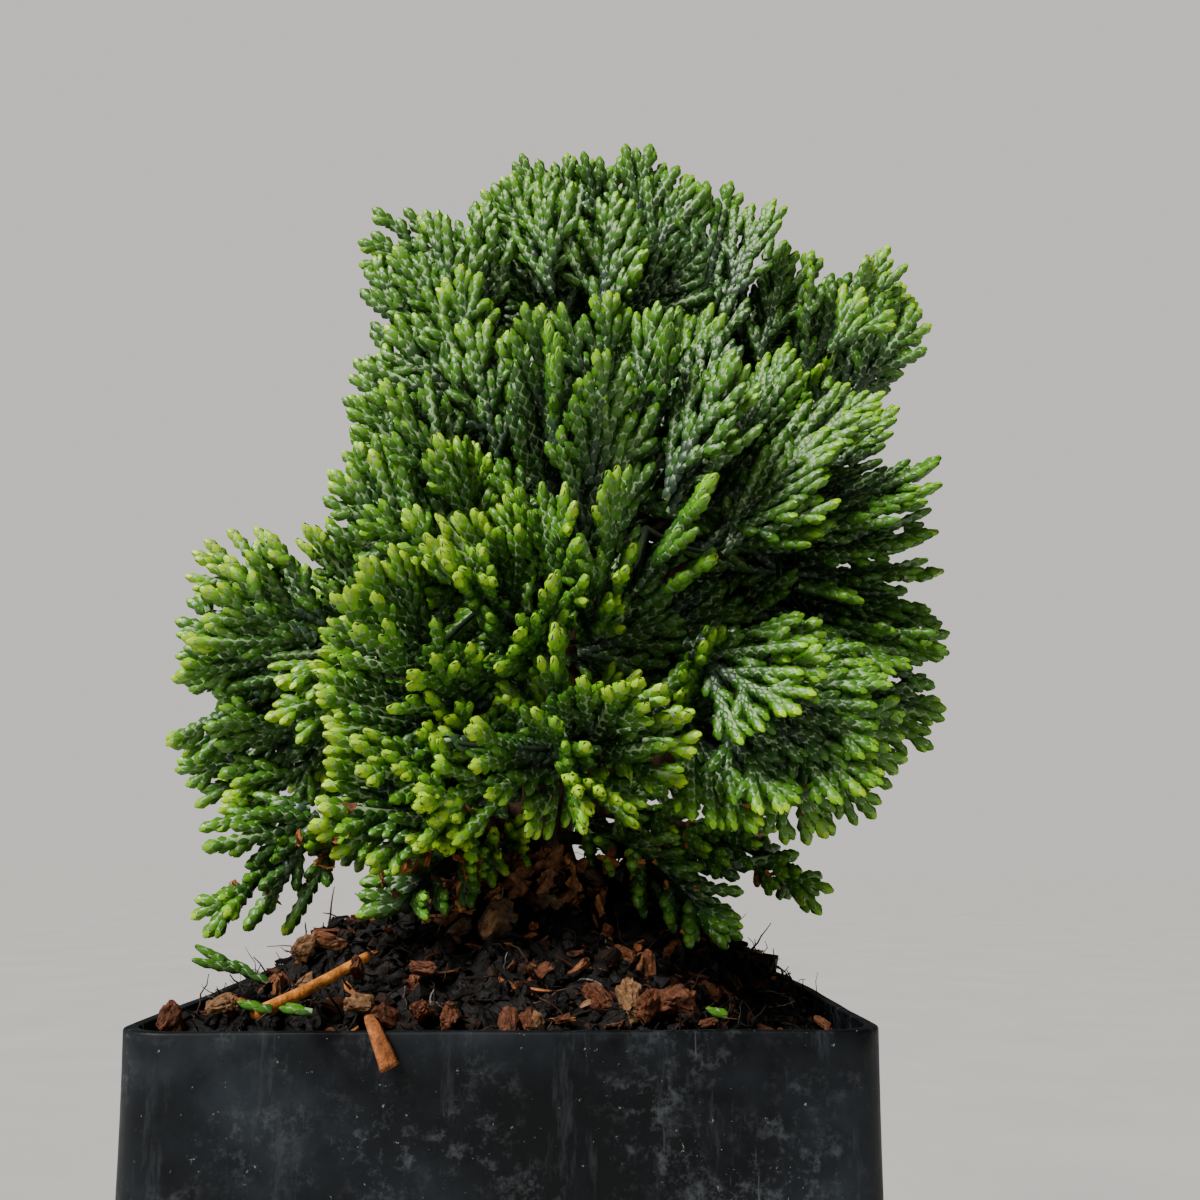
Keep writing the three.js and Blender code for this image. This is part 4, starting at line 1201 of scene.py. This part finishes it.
def pot():
    """The pot's thin wall with its collar, rolled edges and a slight wave, and its holed floor."""
    rings = []
    for half, z in pot_profile():
        ring = square_ring(half)
        level = np.full(len(ring), z)
        near_rim = math.exp(-(RIM - z) / WAVE_DEPTH)
        ways = unit(np.column_stack([ring, level * 0]))
        wave = rough(np.column_stack([ring, level * 0.5]), WAVE_SIZE, 11) * (WAVE_RIM * near_rim + WAVE_WALL)
        fold = np.exp(-(((ring[:, 0] - FOLD_AT) / FOLD_SIZE) ** 2)) * (ring[:, 1] < 0)
        wave = (wave - FOLD_DEPTH * fold * near_rim) * min(z / 5, 1)
        rings.append(np.column_stack([ring, level]) + ways * wave[:, None])
    count = len(rings[0])
    faces = skin(len(rings), count, 0).tolist()
    theta = np.linspace(0, 2 * math.pi, DRAIN_SIDES, endpoint=False)
    low, high = [], []
    for x in (-DRAIN_AT, DRAIN_AT):
        for y in (-DRAIN_AT, DRAIN_AT):
            for z, starts in ((0, low), (FLOOR, high)):
                starts.append(sum(len(ring) for ring in rings))
                across, deep = x + DRAIN_HOLE * np.cos(theta), y + DRAIN_HOLE * np.sin(theta)
                rings.append(np.column_stack([across, deep, np.full(DRAIN_SIDES, z)]))
    corners = np.vstack(rings)
    for start in low:
        faces += (skin(2, DRAIN_SIDES, 0)[:, ::-1] + start).tolist()
    for first, starts, flip in ((0, low, True), (low[0] - count, high, False)):
        loops = [list(range(first, first + count))]
        loops += [list(range(start, start + DRAIN_SIDES))[::-1] for start in starts]
        flat = [index for loop in loops for index in loop]
        outlines = [[Vector(corners[index]) for index in loop] for loop in loops]
        for cell in geometry.tessellate_polygon(outlines):
            a, b, c = (flat[index] for index in cell)
            upright = np.cross(corners[b] - corners[a], corners[c] - corners[a])[2] > 0
            faces.append((a, b, c) if upright != flip else (a, c, b))
    made = piece("pot_shell", corners, np.array(faces), plastic_finish(), "pot")
    sharpen(made.data)
    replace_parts(made, "pot")


def sharpen(mesh):
    """Keeps a mesh's edges crisp where its faces meet at more than an angle."""
    shaped = bmesh.new()
    shaped.from_mesh(mesh)
    for edge in shaped.edges:
        if len(edge.link_faces) == 2 and edge.calc_face_angle() > CRISP:
            edge.smooth = False
    shaped.to_mesh(mesh)
    shaped.free()


def fine_soil(x, y):
    """The compost's surface with its heaps and lumps."""
    places = np.column_stack([x, y, np.zeros(len(x))])
    height = soil_height(x, y)
    for heap_x, heap_y, rise, size in HEAPS:
        height = height + rise * np.exp(-((x - heap_x) ** 2 + (y - heap_y) ** 2) / size**2)
    coarse, middle, fine = (rough(places, size, seed) for size, seed, _ in SOIL_LUMPS)
    tall, middling, low = (lump[2] for lump in SOIL_LUMPS)
    edge = np.clip((wall_half(RIM) - WALL - np.maximum(np.abs(x), np.abs(y))) / 4, 0, 1)
    height = height + (coarse * tall + np.abs(middle) * middling + fine * low) * (0.4 + 0.6 * edge)
    return np.minimum(height, RIM + 0.4 + 12 * edge)


def compost():
    """The filling, with a lumpy top, down to the pot's floor."""
    theta = np.linspace(0, 2 * math.pi, SOIL_SPOKES, endpoint=False)
    powers = np.abs(np.cos(theta)) ** SQUARENESS + np.abs(np.sin(theta)) ** SQUARENESS
    outline = np.column_stack([np.cos(theta), np.sin(theta)]) * (powers ** (-1 / SQUARENESS))[:, None]
    top = wall_half(RIM) - WALL - GAP
    rings = []
    for share in np.linspace(0, 1, SOIL_RINGS + 1)[1:]:
        x, y = (outline * top * share).T
        rings.append(np.column_stack([x, y, fine_soil(x, y)]))
    for z in (RIM - COLLAR_DEPTH - 1, FLOOR + GAP):
        rings.append(np.column_stack([outline * (wall_half(z) - WALL - GAP), np.full(len(theta), z)]))
    middle = fine_soil(np.zeros(1), np.zeros(1))[0]
    corners = np.vstack(rings + [[(0, 0, middle), (0, 0, FLOOR + GAP)]])
    finish = soil_finish("compost", (0.0035, 0.0024, 0.002), 1.2, WET)
    made = piece("compost_fill", corners, skin(len(rings), SOIL_SPOKES)[:, ::-1], finish, "compost")
    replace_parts(made, "compost")


def turns(count, rng, flat=1.0):
    """Random rotations, near level where flat is small."""
    yaw = rng.uniform(0, 2 * math.pi, count)
    pitch = rng.normal(0, 1.2, count) * flat
    roll = rng.uniform(-math.pi, math.pi, count) * flat
    cy, cp, cr = (np.cos(angle) for angle in (yaw, pitch, roll))
    sy, sp, sr = (np.sin(angle) for angle in (yaw, pitch, roll))
    rows = [
        [cy * cp, cy * sp * sr - sy * cr, cy * sp * cr + sy * sr],
        [sy * cp, sy * sp * sr + cy * cr, sy * sp * cr - cy * sr],
        [-sp, cp * sr, cp * cr],
    ]
    return np.array(rows).transpose(2, 0, 1)


def strewn(count, rng):
    """Places on the compost."""
    half = wall_half(RIM) - WALL - 1.2
    x, y = rng.uniform(-half, half, (2, count * 2))[:, :count]
    return np.column_stack([x, y, fine_soil(x, y)])


def slabs(half, rng, width, thickness):
    """Half length, width and thickness of bits of bark, the last two as shares of the first."""
    count = len(half)
    return np.column_stack([half, half * rng.uniform(*width, count), half * rng.uniform(*thickness, count)])


def crumb_form():
    """The crumbs' 12 corners, and the 20 faces among them, each with its face out."""
    pairs = [(a, b * GOLDEN) for a in (-1, 1) for b in (-1, 1)]
    corners = [(a, b, 0) for a, b in pairs] + [(0, a, b) for a, b in pairs] + [(b, 0, a) for a, b in pairs]
    corners = unit(corners)
    near = np.linalg.norm(corners[:, None] - corners, axis=2)
    edge = np.sort(near[0])[1] * 1.01
    faces = []
    for a in range(12):
        for b in range(a + 1, 12):
            for c in range(b + 1, 12):
                if max(near[a, b], near[b, c], near[c, a]) < edge:
                    out = np.dot(np.cross(corners[b] - corners[a], corners[c] - corners[a]), corners[a]) > 0
                    faces.append((a, b, c) if out else (a, c, b))
    return corners, np.array(faces)


def crumbs(name, at, sizes, finish, rng):
    """Small irregular lumps."""
    corners, faces = crumb_form()
    form = corners[None] * rng.uniform(*CRUMB_SPREAD, (len(at), 12, 1)) * sizes[:, None, :]
    form = np.einsum("nij,nkj->nki", turns(len(at), rng), form) + at[:, None, :]
    piece(name, *joined(form, faces), finish, "compost", smooth=False)


def chips(name, at, sizes, finish, rng, flat=0.35, slot="compost"):
    """Splinters of bark: irregular slabs by their half length, width and thickness, a little bent."""
    count = len(at)
    theta = np.arange(CHIP_SIDES) * 2 * math.pi / CHIP_SIDES
    ring = np.column_stack([np.cos(theta), np.sin(theta)])
    form = [(x, y * w, z * w) for x, w in CHIP_STATIONS for y, z in ring]
    form = np.array(form + [(-1.0, 0, 0), (1.0, 0, 0)])
    form = form[None] * rng.uniform(*CHIP_SPREAD, (count, *form.shape)) * sizes[:, None, :]
    form[:, :, 2] += rng.normal(0, CHIP_BEND, (count, 1)) * form[:, :, 0] ** 2
    form = np.einsum("nij,nkj->nki", turns(count, rng, flat), form) + at[:, None, :]
    piece(name, *joined(form, skin(len(CHIP_STATIONS), CHIP_SIDES)), finish, slot, smooth=False)


def torn_lumps(name, colour, at, sizes, rng):
    """Ragged lumps of bark by their half length, width and thickness."""
    ball = bmesh.new()
    bmesh.ops.create_icosphere(ball, subdivisions=LUMP_LEVEL, radius=1.0)
    corners = np.array([vertex.co[:] for vertex in ball.verts])
    faces = np.array([[vertex.index for vertex in face.verts] for face in ball.faces])
    ball.free()
    blocky = np.sign(corners) * np.abs(corners) ** 0.75
    sizes = sizes * LUMP_SIZE
    spin = turns(len(at), rng, 0.6)
    forms = []
    for index in range(len(at)):
        seed = 10 + index
        torn = 1 + 0.45 * rough(corners, 1.1, seed) + 0.25 * np.abs(rough(corners, 0.45, seed + 50))
        strands = rough(corners * [0.35, 1.6, 1.6], 0.5, seed + 90)
        form = blocky * (torn + 0.14 * strands)[:, None] * sizes[index]
        forms.append((form @ spin[index].T + at[index], faces))
    piece(name, *merged(forms), soil_finish(name, colour, 0.5, 0.6), "compost", smooth=False)


def fibres(name, at, lengths, radius, finish, rng):
    """Fine roots and hairs as thin wandering tubes that start on the compost."""
    count = len(at)
    way = unit(np.column_stack([rng.normal(0, 1, (count, 2)), rng.normal(*FIBRE_RISE, count)]))
    points = [at]
    for _ in range(FIBRE_STEPS):
        ahead = points[-1] + way * lengths[:, None] / FIBRE_STEPS
        ahead[:, :2] = np.clip(ahead[:, :2], -FIBRE_REACH, FIBRE_REACH)
        points.append(ahead)
        way = unit(way + rng.normal(0, FIBRE_SWAY, (count, 3)) - UP * FIBRE_DROOP)
    points = np.stack(points, axis=1)
    along = unit(np.gradient(points, axis=1))
    side = unit(np.cross(along, [0.3, 0.2, 1.0]))
    other = np.cross(along, side)
    thin = radius[:, None, None] * np.linspace(1, FIBRE_END, FIBRE_STEPS + 1)[None, :, None]
    rings = [points + (side * math.cos(angle) + other * math.sin(angle)) * thin
             for angle in (0, 2 * math.pi / 3, 4 * math.pi / 3)]
    form = np.stack(rings, axis=2).reshape(count, -1, 3)
    top = FIBRE_STEPS * 3
    faces = np.vstack([skin(FIBRE_STEPS + 1, 3, 0), [(0, 2, 1), (top, top + 1, top + 2)]])
    piece(name, *joined(form, faces), finish, "compost")


def litter():
    """What lies in the compost: crumbs, bark, fibres, and single pieces on and over its edge."""
    rng = np.random.default_rng(SEED + 4)
    for name, (colour, roughness, count, size, least, lift) in CRUMBS.items():
        at = strewn(count, rng)
        sizes = rng.lognormal(size, 0.4, (count, 1)) * rng.uniform(least, 1.3, (count, 3))
        crumbs(name, at + UP * lift, sizes, soil_finish(name, colour, 0.6, roughness), rng)
    for name, (colour, count, most) in CHIPS.items():
        at = strewn(count, rng)
        sizes = slabs(rng.uniform(0.5, most, count), rng, (0.15, 0.6), (0.08, 0.25))
        chips(name, at + UP * 0.5, sizes, soil_finish(name, colour, 0.8), rng)
    for name, (colour, count) in FIBRES.items():
        at = strewn(count, rng)
        lengths = rng.uniform(*FIBRE_LENGTH, count)
        fibres(name, at, lengths, rng.uniform(*FIBRE_RADIUS, count), soil_finish(name, colour, 1.0), rng)
    for name, (colour, count, most) in COLLAR_BARK.items():
        x, y = (rng.uniform(*span, count) for span in COLLAR_AT)
        sizes = slabs(rng.uniform(0.6, most, count), rng, (0.3, 0.7), (0.15, 0.4))
        at = np.column_stack([x, y, fine_soil(x, y) + 0.5])
        chips(name, at, sizes, soil_finish(name, colour, 0.6), rng, flat=0.7)
    named_pieces(rng)


def named_pieces(rng):
    """The pieces that catch the eye: a dry twig, bark on the rim and by it, and fallen sprigs."""
    form = tube(smooth_line([above_rim(place) for place in DRY_TWIG]),
                lambda along, angle: 0.6 - 0.14 * along + 0.04 * np.sin(3 * angle), 10, 30)
    piece("dry_twig", *form, soil_finish("dry_twig", (0.5, 0.17, 0.03), 1.5), "compost")
    form = tube(smooth_line([above_rim(place) for place in RIM_CHIP]),
                lambda along, angle: (0.45 + 0.5 * along) * (1 - 0.6 * np.abs(np.cos(angle))), 12, 14)
    piece("rim_chip", *form, soil_finish("rim_chip", (0.3, 0.1, 0.032), 0.8), "compost")
    for name, (colour, places) in FRONT_BARK.items():
        x, y, z, half = np.array(places).T
        at = np.column_stack([x, y, z + RIM])
        torn_lumps(name, colour, at, slabs(half, rng, (0.4, 0.8), (0.3, 0.6)), rng)
    # bark under the crown, coloured brighter than on the open compost: painted light in the crown's shade
    for name, (colour, places) in PAINTED_LIGHT_BARK.items():
        x, y, half = np.array(places).T
        at = np.column_stack([x, y, fine_soil(x, y) + half * 0.35])
        torn_lumps(name, colour, at, slabs(half, rng, (0.4, 0.7), (0.3, 0.5)), rng)
    fallen_sprigs(rng)


def fallen_sprigs(rng):
    """Green bits that lie on the compost, made as the shoots on the plant are."""
    table = []
    rows = []
    for fan, (root, tip, forks) in enumerate(FALLEN):
        spray = spray_frame(above_rim(root), above_rim(tip), 1.2, shade=1.5, free=True)
        table.append((masses[0], spray))
        rows.append(shoot(fan, 0.0, 0.0, 0.0, 0.15, spray.length, rng, size=SPRIG_SIZE))
        for place, angle, length in forks:
            rows.append(shoot(fan, place, 0.0, angle, -angle * 0.4, length, rng, size=SPRIG_SIZE))
    clad("fallen_sprig", Shoots(fan_table(table), rows), [])


def trunk_radius(along, angle):
    plain = TRUNK_FOOT + (TRUNK_TIP - TRUNK_FOOT) * along
    ridges = 1 - FLARE_RIDGE * (1 - np.cos(FLARE_ROOTS * angle))
    return plain + FLARE * ridges * np.exp(-along * trunk_curve.length / FLARE_HEIGHT)


def bough_radius(along, angle):
    return BOUGH_FOOT + (BOUGH_TIP - BOUGH_FOOT) * along


def stem_radius(along, angle):
    return BOUGH_TIP + (STEM_TIP - BOUGH_TIP) * along


def twig_radius(along, angle):
    return 0.3 - 0.06 * along


def barked(radius_at, depth, furrows, length, rng):
    """A limb's radius with furrows and cracks of a depth."""
    waves = rng.uniform(0, 2 * math.pi, 4)

    def relief(along, angle):
        twist = 1.4 * np.sin(3 * along * length / 20 + waves[0])
        furrow = np.abs(np.sin(furrows * angle / 2 + twist + waves[1]))
        cross = np.sin(along * length * 1.3 + 2 * np.sin(angle * 2 + waves[2]))
        return radius_at(along, angle) + depth * (furrow - 0.5 + 0.35 * cross)

    return relief


def limbs():
    """The trunk and boughs with the bark's relief."""
    rng = np.random.default_rng(SEED + 2)
    corners, faces = tube(trunk_curve, barked(trunk_radius, 0.3, 8, trunk_curve.length, rng), 40, 150)
    corners[:, 2] = np.maximum(corners[:, 2], GROUND)
    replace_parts(piece("trunk_bark", corners, faces, bark_finish(), "bark"), "trunk")
    forms = []
    on_boughs = [mass for mass in masses if mass.bough]
    for mass in on_boughs:
        length = mass.bough.length
        radius_at = barked(bough_radius, 0.12, 6, length, rng)
        forms.append(tube(mass.bough, radius_at, 12, max(12, int(length * 1.5))))
    made = piece("bough_bark", *merged(forms), bark_finish(), "bark")
    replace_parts(made, *["bough_" + mass.name for mass in on_boughs])


def clad(name, shoots, nodes):
    """Shoots with their scales, joined by tint into pieces that replace nodes."""
    corners, tint = scales(shoots)
    groups = []
    for index, tint_name in enumerate(TINTS):
        groups.append((tint_name, corners[tint == index], SCALE_FACES, leaf_finishes[tint_name]))
    groups.append(("shoots", *cores(shoots), pale_lines))
    for group, forms, faces, finish in groups:
        limit = MOST_TRIANGLES // len(faces)
        for part in range(0, len(forms), limit):
            made = piece(f"{name}_{group}_{part // limit + 1}", *joined(forms[part:part + limit], faces),
                         finish, "foliage")
            if nodes:
                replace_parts(made, *nodes)


def foliage():
    sprays = [(mass, spray) for mass in masses for spray in mass_sprays(mass)] + trunk_sprays()
    fans = fan_table(sprays)
    shoots = grow_shoots(fans)
    nodes = ["foliage_" + mass.name for mass in masses]
    clad("scales", shoots, nodes)
    twigs(fans, shoots, nodes)
    dead_flakes(shoots)


def dead_flakes(shoots):
    """Dead scales and flakes of bark that are caught in the lowest shoots."""
    rng = np.random.default_rng(SEED + 6)
    places = shoots.places(0.25)
    low = np.flatnonzero((places[:, 2] < RIM + FLAKE_HEIGHT) & (places[:, 1] < FLAKE_BACK))
    for name, (colour, count) in FLAKES.items():
        chosen = [rng.choice(low, count, replace=False)]
        for spot, many in FLAKE_SPOTS:
            chosen.append(np.linalg.norm(places - np.array(spot) - UP * RIM, axis=1).argsort()[:many])
        at = places[np.concatenate(chosen)]
        at[count:, 1] -= 0.8
        sizes = slabs(rng.uniform(0.5, 1.4, len(at)), rng, (0.25, 0.6), (0.08, 0.2))
        chips(name, at, sizes, soil_finish(name, colour, 0.5), rng, flat=1.0, slot="foliage")


def twigs(fans, shoots, nodes):
    """The stems in the masses and the twigs from them to the green fans, their own colour
    darkened to near black as painted shade of the crown's inside.
    """
    forms = [tube(mass.stem, stem_radius, 8, 10) for mass in masses]
    for fan in sorted(set(shoots.fan)):
        if not fans.open[fan] and not fans.on_trunk[fan]:
            root = fans.root[fan]
            ahead = fans.ahead[fan]
            line = bezier(masses[fans.mass[fan]].core, root - ahead * 2, root + ahead)
            forms.append(tube(line, twig_radius, 5, 4))
    # near-black green: the twigs' colour darkened as painted shade, so that they sink into the crown's
    # inside
    finish = grained("twig", (0.01, 0.017, 0.008), 0.85, 0.1, dict(size=1.5, detail=4),
                     [(0.35, (0.006, 0.011, 0.005)), (0.65, (0.015, 0.025, 0.011))], 0.15)
    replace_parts(piece("twigs", *merged(forms), finish, "bark"), *nodes)


leaf_finishes = {name: leaf_finish(name, colour) for name, colour in TINTS.items()}
pale_lines = grained("wax_lines", PALE_LINES, 0.7, 0.25, dict(size=1.2, detail=2), [(0.3, 0.6), (0.7, 1.2)])

camera()
studio()
floor()
pot()
compost()
litter()
limbs()
foliage()
